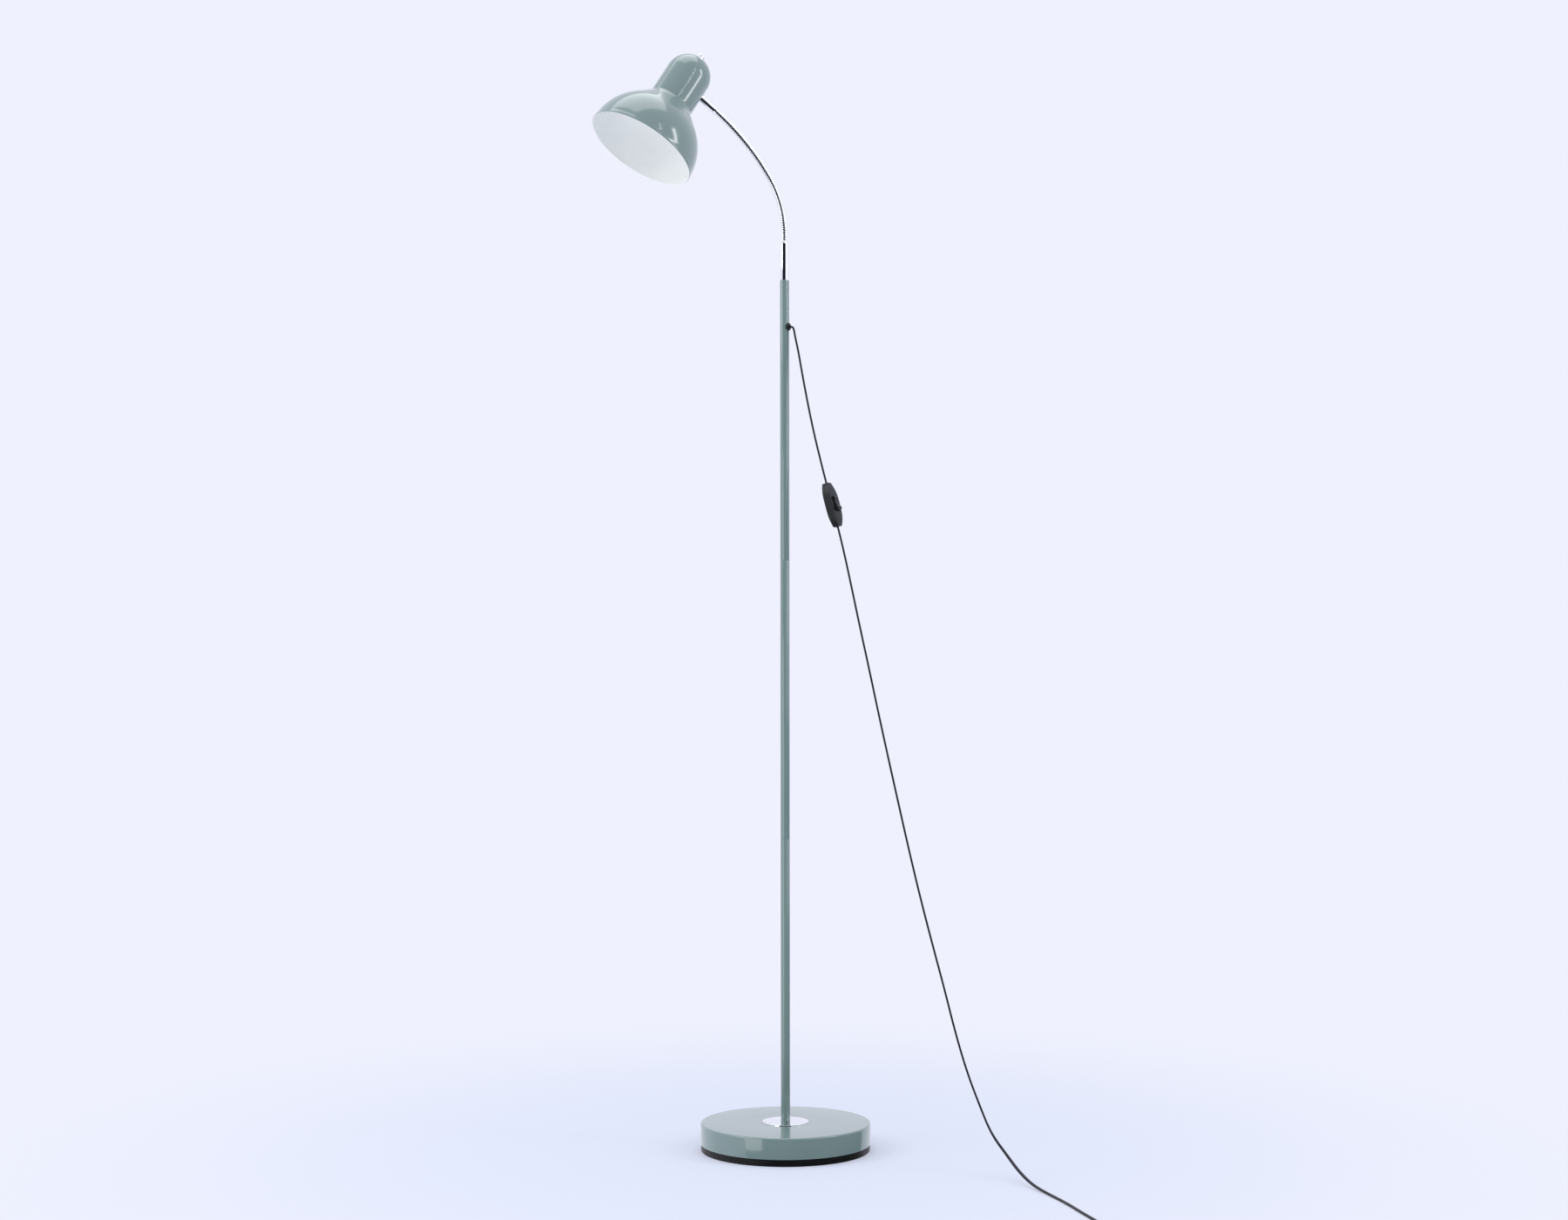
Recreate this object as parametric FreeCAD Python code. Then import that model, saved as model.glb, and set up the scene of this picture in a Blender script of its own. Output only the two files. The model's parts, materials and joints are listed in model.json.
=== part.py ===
import FreeCAD, Part
import math
import os

# Gooseneck reading floor lamp. Millimetres, +Z up, origin under the middle of the base.
# The gooseneck leans towards -X and lies in the plane Y = 0.

os.makedirs("parts", exist_ok=True)

# ---------------------------------------------------------------- driving dimensions
RUN_GAP = 0.05                # radial clearance of turned fits
SEAT_GAP = 0.1                # clearance of loose fits
LAY_GAP = 0.02                # between a curved foot and the round wall that it lies on
PAST = 2.0                    # how far a cut runs past the wall that it goes through

# base
BASE_R = 110.0                # outside of the painted cover
BASE_TOP = 36.0               # height of the cover's top face
COVER_WALL = 1.0
COVER_EDGE_R = 3.5            # rounded upper rim of the cover
SKIRT_H = 9.0                 # black skirt that shows below the cover
SKIRT_INSET = 0.8             # the skirt stands back from the cover
TRAY_WALL = 2.5
TRAY_FLOOR = 2.0
TRAY_SPIGOT_H = 5.0           # ring that centres the tray inside the cover
TRAY_HUB_R = 26.0
TRAY_WEBS = 8
TRAY_WEB_T = 2.0
TRAY_EDGE = 1.0               # chamfer of the skirt's lower edge
ROOT_DEPTH = 0.5              # how far a rib or web is rooted in its wall
WEIGHT_R = 103.0
WEIGHT_T = 12.0
WEIGHT_BOSS_R = 24.0
WEIGHT_EDGE = 1.5             # chamfer of the casting
WEIGHT_BOSS_FOOT = 3.0        # slope at the foot of its boss
WEIGHT_SEAT = 11.0            # height of the weight's underside
DISC_R = 30.0                 # chrome disc at the foot of the pole
DISC_T = 1.2
DISC_EDGE = 0.6

# threaded parts, thread shown as its plain outer size
STUD_R = 4.0
STUD_EDGE = 0.7
STUD_IN_TUBE = 15.0           # how far a stud enters a tube
WASHER_R = 11.0
WASHER_T = 1.6
WASHER_EDGE = 0.3
NUT_EDGE = 0.6
BASE_NUT_AF = 13.0
BASE_NUT_T = 6.0
STUD_TAIL = 0.6               # stud beyond the nut

# pole
POLE_R = 6.0
POLE_WALL = 1.0
POLE_LOWER_L = 365.0
POLE_MIDDLE_L = 361.0
POLE_UPPER_L = 362.0
POLE_EDGE = 0.35              # chamfer at the tube ends, seen as a fine line
BUSH_L = 16.0

# chrome sleeve in the top of the pole
SLEEVE_R = 5.5
SLEEVE_L = 51.0
SLEEVE_TAPER_L = 4.0
SLEEVE_MOUTH_R = 4.4
SLEEVE_SPIGOT_L = 18.0
SLEEVE_BORE_R = 3.0           # way for the lead
NECK_SPIGOT_R = 3.2
NECK_SPIGOT_L = 14.0
NECK_SOCKET_SPARE = 1.0       # socket beyond the end of the spigot

# gooseneck
NECK_CREST_R = 4.15
NECK_ROOT_R = 3.55
NECK_BORE_R = 2.3
NECK_STRAIGHT = 6.0           # upright run above the sleeve
NECK_ARC_1_R = 131.0
NECK_ARC_1_DEG = 35.5
NECK_ARC_2_R = 311.0
NECK_ARC_2_DEG = 19.8
STRETCHES = 8
RIBS_PER_STRETCH = 8
RIB_FLANK = 0.27              # share of the rib pitch on each sloping flank
NECK_SIDES = 16               # sides of the hose's section
BEND_GAP = 0.9                # slit between stretches, lets each joint turn 13 degrees
SWING_GAP = 0.3               # slit above the sleeve

# chrome ferrule at the head end
FERRULE_R = 5.3
FERRULE_L = 29.0
FERRULE_TAPER_L = 5.0
FERRULE_SPIGOT_R = 4.9
FERRULE_BORE_R = 2.6
FERRULE_NUT_AF = 14.0
FERRULE_NUT_T = 4.0
FERRULE_TAIL = 0.6
SADDLE_R = 8.0
SADDLE_T = 2.4

# shade and cup; heights are measured up the shade's axis from its opening
SHADE_WALL = 0.8
SHADE_R = 70.8                # radius at the opening
SHADE_BALL_R = 70.3           # radius of the dome
SHADE_BALL_H = 2.6            # height of the dome's centre
SHADE_BREAK_R = 50.5          # where the dome runs into a cone
SHADE_RIM_T = 1.4
SHADE_RIM_H = 2.0
SHADE_RIM_EDGE = 0.4
SHADE_BELLY_H = 6.0           # where the rim's flank meets the ball
CUP_R = 29.1
CUP_BOTTOM_H = 73.5
CUP_SHOULDER_H = 118.0
CUP_FLARE = 5.0               # bell-mouthed foot of the cup
CUP_LAP_T = 0.8               # neck of the dome inside the cup
CUP_LAP_H = 6.0
CUP_LIP = 0.3                 # thickness of the cup's edge where it lies on the dome
FERRULE_H = 108.7             # height of the ferrule on the cup

# lampholder
HOLDER_MOUTH_H = 66.0
HOLDER_SKIRT_R = 19.5
HOLDER_SKIRT_L = 36.0
HOLDER_SKIRT_BORE_R = 14.0
HOLDER_RIM = 1.2
HOLDER_RING_L = 9.0           # thicker ring at the mouth
HOLDER_RING_STEP = 1.0
HOLDER_FLOOR_T = 3.0
HOLDER_CAP_WALL = 3.5
HOLDER_CAP_SKIRT = 4.0
HOLDER_CAP_SLOPE = 5.0
HOLDER_CAP_L = 20.0
HOLDER_CAP_TOP_R = 10.0
SHELL_WALL = 0.6
SHELL_L = 24.0
SHELL_SETBACK = 1.0
CONTACT_R = 4.5
CONTACT_T = 0.8
CONTACT_POST_R = 1.5
CONTACT_POST_L = 3.0
NIPPLE_R = 5.0
NIPPLE_BORE_R = 3.6
NIPPLE_IN_CAP = 10.0
NIPPLE_OUT = 5.0
NIPPLE_EDGE = 0.4
NIPPLE_NUT_AF = 14.0
NIPPLE_NUT_T = 4.0
FINIAL_R = 6.6
FINIAL_L = 7.5
FINIAL_ROUND = 3.0
FINIAL_SINK = 0.4             # its foot follows the round top this far down
WIRE_R = 0.8
WIRE_OFFSET = 1.2             # half the spacing of the two lamp wires
WIRE_FOOT_R = 2.5
WIRE_LOOP_H = 127.0
WIRE_IN_FERRULE = 3.0
WIRE_INSET = 2.0              # wires enter the cap this far inside its top

# cord
CORD_R = 2.0                  # round tube of the flat cord's section
CORD_SIDES = 8
CORD_LIE = 2.15               # height of the cord's middle on the floor
CORD_HEADING = -61.5          # degrees, seen from above, of the hanging part
GROMMET_Z = 1065.0
GROMMET_R = 5.0
GROMMET_NECK_R = 3.6
GROMMET_OUT = 1.5             # how far the grommet stands proud of the tube
GROMMET_FLANK = 0.6           # upright part of its flange
GROMMET_IN = 0.8              # how far its neck passes the inside of the tube
LEAD_BEND_R = 6.0
# points of the hanging part: distance out from the pole, height
CORD_UPPER = [
    (7.5, 1065.0), (11.2, 1065.0), (14.0, 1061.6), (15.4, 1053.0), (20.0, 1035.0),
    (25.2, 1008.5), (33.4, 969.5), (43.3, 927.0), (56.3, 880.1), (62.0, 860.9),
]
CORD_LOWER = [
    (78.6, 805.1), (84.3, 785.9), (96.4, 737.4), (109.8, 681.0), (124.3, 622.7),
    (137.6, 567.3), (152.1, 509.1), (166.9, 450.9), (181.8, 392.9), (197.0, 337.0),
    (213.4, 281.4), (230.5, 225.7), (246.3, 170.2), (262.5, 122.5), (280.0, 82.5),
]
# points where the cord comes down and runs along the floor
CORD_FLOOR = [
    (142.2, -258.4, 49.0), (148.6, -282.9, 26.0), (143.4, -314.4, 13.0), (135.5, -353.2, 4.5),
    (129.1, -394.9, CORD_LIE), (118.1, -444.3, CORD_LIE), (102.9, -494.7, CORD_LIE),
    (89.2, -544.7, CORD_LIE),
]

# coil of the cord's spare length, lying on the floor
COIL_X = 47.5
COIL_Y = -587.0
COIL_OUTER_R = 30.0
COIL_PITCH = 4.6
COIL_START_DEG = -13.8
COIL_TURNS_IN = 1.0
COIL_TURNS_BACK = 0.5
COIL_TURNS_OUT = 0.8
COIL_STEPS_PER_TURN = 8
COIL_LEAD_OUT = 15.0
GAP_STEP = 2.5                # spacing of the points on which the coil's own gap is measured
TIE_T = 0.8
TIE_W = 8.0
TIE_GAP = 0.4
TIE_AT_DEG = 60.0

# plug
PLUG_L = 30.0
PLUG_W = 35.0
PLUG_T = 13.8
PLUG_NECK_W = 18.0
PLUG_NECK_L = 12.0
PLUG_SHOULDER = 2.2           # swell of the shoulder beside the neck
PLUG_ROUND = 3.0
PLUG_EDGE = 1.2
PIN_R = 2.0
PIN_SPACING = 19.0
PIN_L = 19.0
PIN_TANG_R = 1.6              # thinner root of a pin, held in the body
PIN_TANG_L = 6.0
BOOT_L = 20.0
BOOT_R = 4.6
BOOT_END_R = 3.2
BOOT_GROOVES = 4              # grooves that let the boot bend with the cord
BOOT_GROOVE_W = 1.6
BOOT_GROOVE_D = 0.8
BOOT_GROOVE_PITCH = 3.6
BOOT_TAIL = 3.0               # plain end before the first groove

# switch in the cord
SWITCH_L = 58.0
SWITCH_W = 20.0
SWITCH_T = 12.6
SWITCH_END_W = 9.0
SWITCH_END_T = 7.6
SWITCH_FLAT_L = 18.0          # parallel middle of the outline
SWITCH_SHOULDER = 1.2         # how far the outline has drawn in half way to its end
SWITCH_WALL = 1.6
SWITCH_PARTING = 0.3          # groove between the two shells
SWITCH_ARCH = 1.6             # rise of the arched back
ROCKER_L = 18.0
ROCKER_W = 9.0
ROCKER_RISE = 3.4
ROCKER_TILT = 16.0            # full travel
ROCKER_GAP = 0.5
ROCKER_SADDLE = 1.5           # depth of the saddle between its wings
ROCKER_WING = 2.4             # length of a wing's rounded end
ROCKER_END = 1.2              # drop of that end
ROCKER_KEEL = 1.6             # belly below the middle of the switch
ROCKER_HEEL = 1.5
PIVOT_R = 1.2
PIVOT_DEPTH = 3.0             # pivot below the face
EAR_L = 5.0
EAR_T = 2.4
SCREW_R = 1.0
SCREW_L = 8.7
SCREW_HEAD_R = 2.0
SCREW_HEAD_T = 1.6
SCREW_SUNK = 1.6              # depth of the recess above the head
SCREW_X = 13.0
SCREW_Y = 5.6
POST_WALL = 1.8


# ---------------------------------------------------------------- heights up the pole
POLE_FOOT = BASE_TOP + DISC_T
JOINT_1 = POLE_FOOT + POLE_LOWER_L
JOINT_2 = JOINT_1 + POLE_MIDDLE_L
POLE_TOP = JOINT_2 + POLE_UPPER_L
SLEEVE_TOP = POLE_TOP + SLEEVE_L


# ---------------------------------------------------------------- helpers
def vec(x, y, z):
    return FreeCAD.Vector(x, y, z)


def save(name, *solids):
    """Write one or more separate solids as one sub-part."""
    shape = solids[0] if len(solids) == 1 else Part.makeCompound(list(solids))
    shape.exportStep("parts/" + name + ".step")


def upright(a, b):
    """Point of the XZ plane."""
    return vec(a, 0, b)


def level(a, b):
    """Point of the XY plane."""
    return vec(a, b, 0)


def outline_face(plane, start, *steps):
    """Closed flat face. A step is a point (a, b), or (middle point, end point) of an arc."""
    edges = []
    here = start
    for step in list(steps) + [start]:
        if isinstance(step[0], tuple):
            middle, end = step
            edges.append(Part.Arc(plane(*here), plane(*middle), plane(*end)).toShape())
        else:
            end = step
            if math.dist(here, end) > 1e-6:
                edges.append(Part.makeLine(plane(*here), plane(*end)))
        here = end
    return Part.Face(Part.Wire(edges))


def turned(start, *steps):
    """Solid of revolution about Z of a closed profile."""
    return outline_face(upright, start, *steps).revolve(vec(0, 0, 0), vec(0, 0, 1), 360)


def on_arc(centre_r, centre_z, radius, degrees):
    """Point of an arc in the (r, z) plane; 0 degrees points outwards, 90 up."""
    angle = math.radians(degrees)
    return (centre_r + radius * math.cos(angle), centre_z + radius * math.sin(angle))


def tube(outer, inner, low, high, edge=0.0):
    """Tube about Z with chamfered outer ends."""
    return turned((inner, low), (outer - edge, low), (outer, low + edge), (outer, high - edge),
                  (outer - edge, high), (inner, high))


def rod(radius, low, high):
    return Part.makeCylinder(radius, high - low, vec(0, 0, low))


def stud(low, high):
    """Threaded stud about Z with chamfered ends."""
    return turned((0, low), (STUD_R - STUD_EDGE, low), (STUD_R, low + STUD_EDGE), (STUD_R, high - STUD_EDGE),
                  (STUD_R - STUD_EDGE, high), (0, high))


def hex_nut(flats, hole, low, thickness):
    """Hexagon nut about Z."""
    corner = flats / math.sqrt(3.0)
    points = []
    for i in range(7):
        angle = math.radians(60 * i)
        points.append(vec(corner * math.cos(angle), corner * math.sin(angle), low))
    body = Part.Face(Part.makePolygon(points)).extrude(vec(0, 0, thickness))
    crown = tube(corner, hole, low, low + thickness, NUT_EDGE)
    return body.common(crown)


def moved(shape, placement):
    copy = shape.copy()
    copy.Placement = placement.multiply(copy.Placement)
    return copy


def rotation_z(degrees):
    return FreeCAD.Placement(vec(0, 0, 0), FreeCAD.Rotation(vec(0, 0, 1), degrees))


def frame_placement(origin, x_axis, y_axis, z_axis):
    """Placement whose local axes are the three given unit vectors."""
    matrix = FreeCAD.Matrix(x_axis.x, y_axis.x, z_axis.x, origin.x,
                            x_axis.y, y_axis.y, z_axis.y, origin.y,
                            x_axis.z, y_axis.z, z_axis.z, origin.z,
                            0, 0, 0, 1)
    return FreeCAD.Placement(matrix)


def polygon_wire(placement, radius, sides):
    """Regular polygon of the same area as a circle of this radius."""
    corner = radius * math.sqrt(2.0 * math.pi / (sides * math.sin(2.0 * math.pi / sides)))
    points = []
    for i in range(sides + 1):
        angle = 2.0 * math.pi * (i % sides + 0.5) / sides
        points.append(placement.multVec(vec(corner * math.cos(angle), corner * math.sin(angle), 0)))
    return Part.makePolygon(points)


def section_at(origin, direction, radius, sides):
    """Polygon section square to a direction, with a flat towards the floor."""
    side = direction.cross(vec(0, 0, 1))
    side = side.normalize() if side.Length > 1e-6 else vec(0, 1, 0)
    up = side.cross(direction).normalize()
    return polygon_wire(frame_placement(origin, side, up, direction), radius, sides)


def round_route(points, name):
    """Straight runs joined by tangent arcs, each as large as its two runs allow."""
    edges = []
    radii = []
    here = points[0]
    for before, corner, after in zip(points, points[1:], points[2:]):
        run_in = (corner - before)
        run_out = (after - corner)
        shorter = min(run_in.Length, run_out.Length)
        run_in.normalize()
        run_out.normalize()
        half_turn = run_in.getAngle(run_out) / 2.0
        setback = 0.45 * shorter
        radii.append(setback / math.tan(half_turn))
        start = corner - run_in * setback
        end = corner + run_out * setback
        inward = (run_out - run_in).normalize()
        middle = corner + inward * (radii[-1] / math.cos(half_turn) - radii[-1])
        edges.append(Part.LineSegment(here, start).toShape())
        edges.append(Part.Arc(start, middle, end).toShape())
        here = end
    edges.append(Part.LineSegment(here, points[-1]).toShape())
    print(name, "arc radii", " ".join("%.0f" % radius for radius in radii))
    return Part.Wire(edges)


def cord_tube(points, name):
    """Cord stretch along a route, with its volume compared with section times length."""
    path = round_route(points, name)
    direction = (points[1] - points[0]).normalize()
    section = section_at(points[0], direction, CORD_R, CORD_SIDES)
    solid = path.makePipeShell([section], True, False)
    expected = math.pi * CORD_R ** 2 * path.Length
    print(name, "length %.1f, volume ratio %.4f" % (path.Length, solid.Volume / expected))
    return solid


# ---------------------------------------------------------------- base
def make_base_tray():
    outer = BASE_R - SKIRT_INSET
    spigot = BASE_R - COVER_WALL - SEAT_GAP
    inner = spigot - TRAY_WALL
    top = SKIRT_H + TRAY_SPIGOT_H
    shell = turned((0, 0), (outer - TRAY_EDGE, 0), (outer, TRAY_EDGE), (outer, SKIRT_H), (spigot, SKIRT_H),
                   (spigot, top), (inner, top), (inner, TRAY_FLOOR), (0, TRAY_FLOOR))
    foot = TRAY_FLOOR - ROOT_DEPTH
    hub = tube(TRAY_HUB_R, TRAY_HUB_R - TRAY_WEB_T, foot, WEIGHT_SEAT)
    length = inner - TRAY_HUB_R + 2.0 * ROOT_DEPTH
    web = Part.makeBox(length, TRAY_WEB_T, WEIGHT_SEAT - foot,
                       vec(TRAY_HUB_R - ROOT_DEPTH, -TRAY_WEB_T / 2.0, foot))
    webs = [moved(web, rotation_z(360.0 / TRAY_WEBS * i)) for i in range(TRAY_WEBS)]
    return shell.multiFuse([hub] + webs).removeSplitter()


def make_base_cover():
    hole = STUD_R + SEAT_GAP
    inner = BASE_R - COVER_WALL
    edge_r = BASE_R - COVER_EDGE_R
    edge_z = BASE_TOP - COVER_EDGE_R
    return turned((hole, BASE_TOP), (edge_r, BASE_TOP),
                  (on_arc(edge_r, edge_z, COVER_EDGE_R, 45), (BASE_R, edge_z)),
                  (BASE_R, SKIRT_H), (inner, SKIRT_H), (inner, edge_z), (edge_r, BASE_TOP - COVER_WALL),
                  (hole, BASE_TOP - COVER_WALL))


def make_base_weight():
    hole = STUD_R + SEAT_GAP
    top = WEIGHT_SEAT + WEIGHT_T
    boss_top = BASE_TOP - COVER_WALL
    return turned((hole, WEIGHT_SEAT), (WEIGHT_R - WEIGHT_EDGE, WEIGHT_SEAT),
                  (WEIGHT_R, WEIGHT_SEAT + WEIGHT_EDGE), (WEIGHT_R, top - WEIGHT_EDGE),
                  (WEIGHT_R - WEIGHT_EDGE, top), (WEIGHT_BOSS_R + WEIGHT_BOSS_FOOT, top),
                  (WEIGHT_BOSS_R, top + WEIGHT_BOSS_FOOT), (WEIGHT_BOSS_R, boss_top), (hole, boss_top))


def make_base_disc():
    top = BASE_TOP + DISC_T
    return turned((STUD_R + SEAT_GAP, BASE_TOP), (DISC_R, BASE_TOP), (DISC_R, top - DISC_EDGE),
                  (DISC_R - DISC_EDGE, top), (STUD_R + SEAT_GAP, top))


def make_base_fasteners():
    nut_low = WEIGHT_SEAT - WASHER_T - BASE_NUT_T
    save("base_washer", tube(WASHER_R, STUD_R + SEAT_GAP, WEIGHT_SEAT - WASHER_T, WEIGHT_SEAT, WASHER_EDGE))
    save("base_nut", hex_nut(BASE_NUT_AF, STUD_R + RUN_GAP, nut_low, BASE_NUT_T))
    save("base_stud", stud(nut_low - STUD_TAIL, POLE_FOOT + STUD_IN_TUBE))


# ---------------------------------------------------------------- pole
def outward(distance, height, sideways=0.0):
    """Point of the vertical plane in which the cord hangs."""
    angle = math.radians(CORD_HEADING)
    return vec(distance * math.cos(angle) - sideways * math.sin(angle),
               distance * math.sin(angle) + sideways * math.cos(angle), height)


def radial_placement(height):
    """Local Z points outwards where the cord leaves the pole."""
    out = outward(1.0, 0.0)
    up = vec(0, 0, 1)
    return frame_placement(vec(0, 0, height), up.cross(out), up, out)


def make_pole():
    inner = POLE_R - POLE_WALL
    upper = tube(POLE_R, inner, JOINT_2, POLE_TOP, POLE_EDGE)
    hole = moved(rod(GROMMET_NECK_R + SEAT_GAP, 0, POLE_R + PAST), radial_placement(GROMMET_Z))
    save("pole_lower", tube(POLE_R, inner, POLE_FOOT, JOINT_1, POLE_EDGE))
    save("pole_middle", tube(POLE_R, inner, JOINT_1, JOINT_2, POLE_EDGE))
    save("pole_upper", upper.cut(hole))
    bush_lows = [POLE_FOOT, JOINT_1 - BUSH_L, JOINT_1, JOINT_2 - BUSH_L, JOINT_2]
    bushes = [tube(inner - RUN_GAP, STUD_R + RUN_GAP, low, low + BUSH_L) for low in bush_lows]
    save("pole_bushes", *bushes)
    save("pole_studs", *[stud(z - STUD_IN_TUBE, z + STUD_IN_TUBE) for z in (JOINT_1, JOINT_2)])


def make_neck_sleeve():
    spigot = POLE_R - POLE_WALL - RUN_GAP
    low = POLE_TOP - SLEEVE_SPIGOT_L
    socket = SLEEVE_TOP - NECK_SPIGOT_L - NECK_SOCKET_SPARE
    mouth = NECK_SPIGOT_R + RUN_GAP
    return turned((SLEEVE_BORE_R, low), (spigot, low), (spigot, POLE_TOP), (SLEEVE_R, POLE_TOP),
                  (SLEEVE_R, SLEEVE_TOP - SLEEVE_TAPER_L), (SLEEVE_MOUTH_R, SLEEVE_TOP),
                  (mouth, SLEEVE_TOP), (mouth, socket), (SLEEVE_BORE_R, socket))


def make_grommet():
    """Flanged bush in the wall of the upper tube."""
    face = POLE_R + GROMMET_OUT
    flank = POLE_R + GROMMET_FLANK
    lip = GROMMET_OUT - GROMMET_FLANK
    body = turned((0, POLE_R - PAST), (GROMMET_R, POLE_R - PAST), (GROMMET_R, flank),
                  (GROMMET_R - lip, face), (0, face))
    place = radial_placement(GROMMET_Z)
    seat = rod(POLE_R + LAY_GAP, GROMMET_Z - 2.0 * GROMMET_R, GROMMET_Z + 2.0 * GROMMET_R)
    neck = moved(rod(GROMMET_NECK_R, POLE_R - POLE_WALL - GROMMET_IN, flank), place)
    hole = moved(rod(CORD_R + 2.0 * SEAT_GAP, 0, face + PAST), place)
    return moved(body, place).cut(seat).fuse(neck).cut(hole).removeSplitter()


def make_pole_lead():
    """Lead inside the upper tube, from the grommet up to the gooseneck."""
    centre = outward(LEAD_BEND_R, GROMMET_Z + LEAD_BEND_R)
    start = outward(POLE_R + GROMMET_OUT, GROMMET_Z)
    bend_start = outward(LEAD_BEND_R, GROMMET_Z)
    bend_middle = centre + outward(-LEAD_BEND_R / math.sqrt(2.0), -LEAD_BEND_R / math.sqrt(2.0))
    bend_end = outward(0.0, GROMMET_Z + LEAD_BEND_R)
    top = vec(0, 0, SLEEVE_TOP - NECK_SPIGOT_L - 2.0 * NECK_SOCKET_SPARE)
    path = Part.Wire([Part.LineSegment(start, bend_start).toShape(),
                      Part.Arc(bend_start, bend_middle, bend_end).toShape(),
                      Part.LineSegment(bend_end, top).toShape()])
    section = section_at(start, outward(-1.0, 0.0), CORD_R, CORD_SIDES)
    return path.makePipeShell([section], True, False)


# ---------------------------------------------------------------- gooseneck
NECK_ARC_1_L = NECK_ARC_1_R * math.radians(NECK_ARC_1_DEG)
NECK_ARC_2_L = NECK_ARC_2_R * math.radians(NECK_ARC_2_DEG)
NECK_L = NECK_STRAIGHT + NECK_ARC_1_L + NECK_ARC_2_L
NECK_TURN = math.radians(NECK_ARC_1_DEG + NECK_ARC_2_DEG)


def neck_point(distance):
    """Place on the gooseneck's centreline and its lean from upright, in radians."""
    lean_1 = math.radians(NECK_ARC_1_DEG)
    if distance <= NECK_STRAIGHT:
        return vec(0, 0, SLEEVE_TOP + distance), 0.0
    if distance <= NECK_STRAIGHT + NECK_ARC_1_L:
        lean = (distance - NECK_STRAIGHT) / NECK_ARC_1_R
        x = -NECK_ARC_1_R * (1.0 - math.cos(lean))
        z = SLEEVE_TOP + NECK_STRAIGHT + NECK_ARC_1_R * math.sin(lean)
        return vec(x, 0, z), lean
    lean = lean_1 + (distance - NECK_STRAIGHT - NECK_ARC_1_L) / NECK_ARC_2_R
    knee, _ = neck_point(NECK_STRAIGHT + NECK_ARC_1_L)
    x = knee.x - NECK_ARC_2_R * (math.cos(lean_1) - math.cos(lean))
    z = knee.z + NECK_ARC_2_R * (math.sin(lean) - math.sin(lean_1))
    return vec(x, 0, z), lean


def neck_placement(distance):
    """Local Z runs along the gooseneck, local Y stays level."""
    point, lean = neck_point(distance)
    along = vec(-math.sin(lean), 0, math.cos(lean))
    across = vec(math.cos(lean), 0, math.sin(lean))
    return frame_placement(point, across, vec(0, 1, 0), along)


def make_neck_stretch(index):
    """Ribbed stretch between two bending places; the first also has its spigot."""
    low = NECK_L * index / STRETCHES + (SWING_GAP if index == 0 else BEND_GAP / 2.0)
    high = NECK_L * (index + 1) / STRETCHES - BEND_GAP / 2.0
    pitch = (high - low) / RIBS_PER_STRETCH
    rings = [(low, NECK_ROOT_R)]
    for rib in range(RIBS_PER_STRETCH):
        rib_low = low + pitch * rib
        rings.append((rib_low + pitch * RIB_FLANK, NECK_CREST_R))
        rings.append((rib_low + pitch * (1.0 - RIB_FLANK), NECK_CREST_R))
        rings.append((rib_low + pitch, NECK_ROOT_R))
    sections = [polygon_wire(neck_placement(distance), radius, NECK_SIDES) for distance, radius in rings]
    body = Part.makeLoft(sections, True, True)
    first, _ = neck_point(low)
    last, _ = neck_point(high)
    chord = last - first
    bore_start = first - chord * (PAST / chord.Length)
    bore = Part.makeCylinder(NECK_BORE_R, chord.Length + 2.0 * PAST, bore_start, chord)
    if index == 0:
        spigot_foot = SLEEVE_TOP - NECK_SPIGOT_L
        body = body.fuse(rod(NECK_SPIGOT_R, spigot_foot, SLEEVE_TOP + low + ROOT_DEPTH))
        bore = bore.fuse(rod(NECK_BORE_R, spigot_foot - PAST, SLEEVE_TOP + PAST))
    return body.cut(bore)


# ---------------------------------------------------------------- head
NECK_END = neck_point(NECK_L)[0]
HEAD_OUT = vec(-math.sin(NECK_TURN), 0, math.cos(NECK_TURN))
HEAD_UP = vec(math.cos(NECK_TURN), 0, math.sin(NECK_TURN))
HEAD_ORIGIN = NECK_END + HEAD_OUT * (FERRULE_L + CUP_R) - HEAD_UP * FERRULE_H
HEAD = frame_placement(HEAD_ORIGIN, HEAD_OUT * -1.0, vec(0, 1, 0), HEAD_UP)
CUP_INNER_R = CUP_R - SHADE_WALL
CUP_TOP_H = CUP_SHOULDER_H + CUP_R
HOLDER_CAP_TOP = HOLDER_MOUTH_H + HOLDER_SKIRT_L + HOLDER_CAP_L


def ball_height(radius, ball):
    """Height of the dome at a distance from the shade's axis."""
    return SHADE_BALL_H + math.sqrt(ball ** 2 - radius ** 2)


# slope of the cone between ball and cup, as rise over radius, and its angle below level
CONE_SLOPE = (CUP_BOTTOM_H - ball_height(SHADE_BREAK_R, SHADE_BALL_R)) / (CUP_R - SHADE_BREAK_R)
CONE_TURN = math.atan(-CONE_SLOPE)


def cone_height(radius):
    """Height of the dome's conical shoulder at a distance from the shade's axis."""
    return CUP_BOTTOM_H + (radius - CUP_R) * CONE_SLOPE


def cup_side(shape):
    """Turn a piece made about Z so that it points out of the cup at the ferrule."""
    turn = FreeCAD.Placement(vec(0, 0, FERRULE_H), FreeCAD.Rotation(vec(0, 1, 0), 90))
    return moved(shape, turn)


def cup_wall(radius):
    """Round block at the ferrule's height that shapes what lies against the cup."""
    return rod(radius, FERRULE_H - 2.0 * SADDLE_R, FERRULE_H + 2.0 * SADDLE_R)


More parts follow.
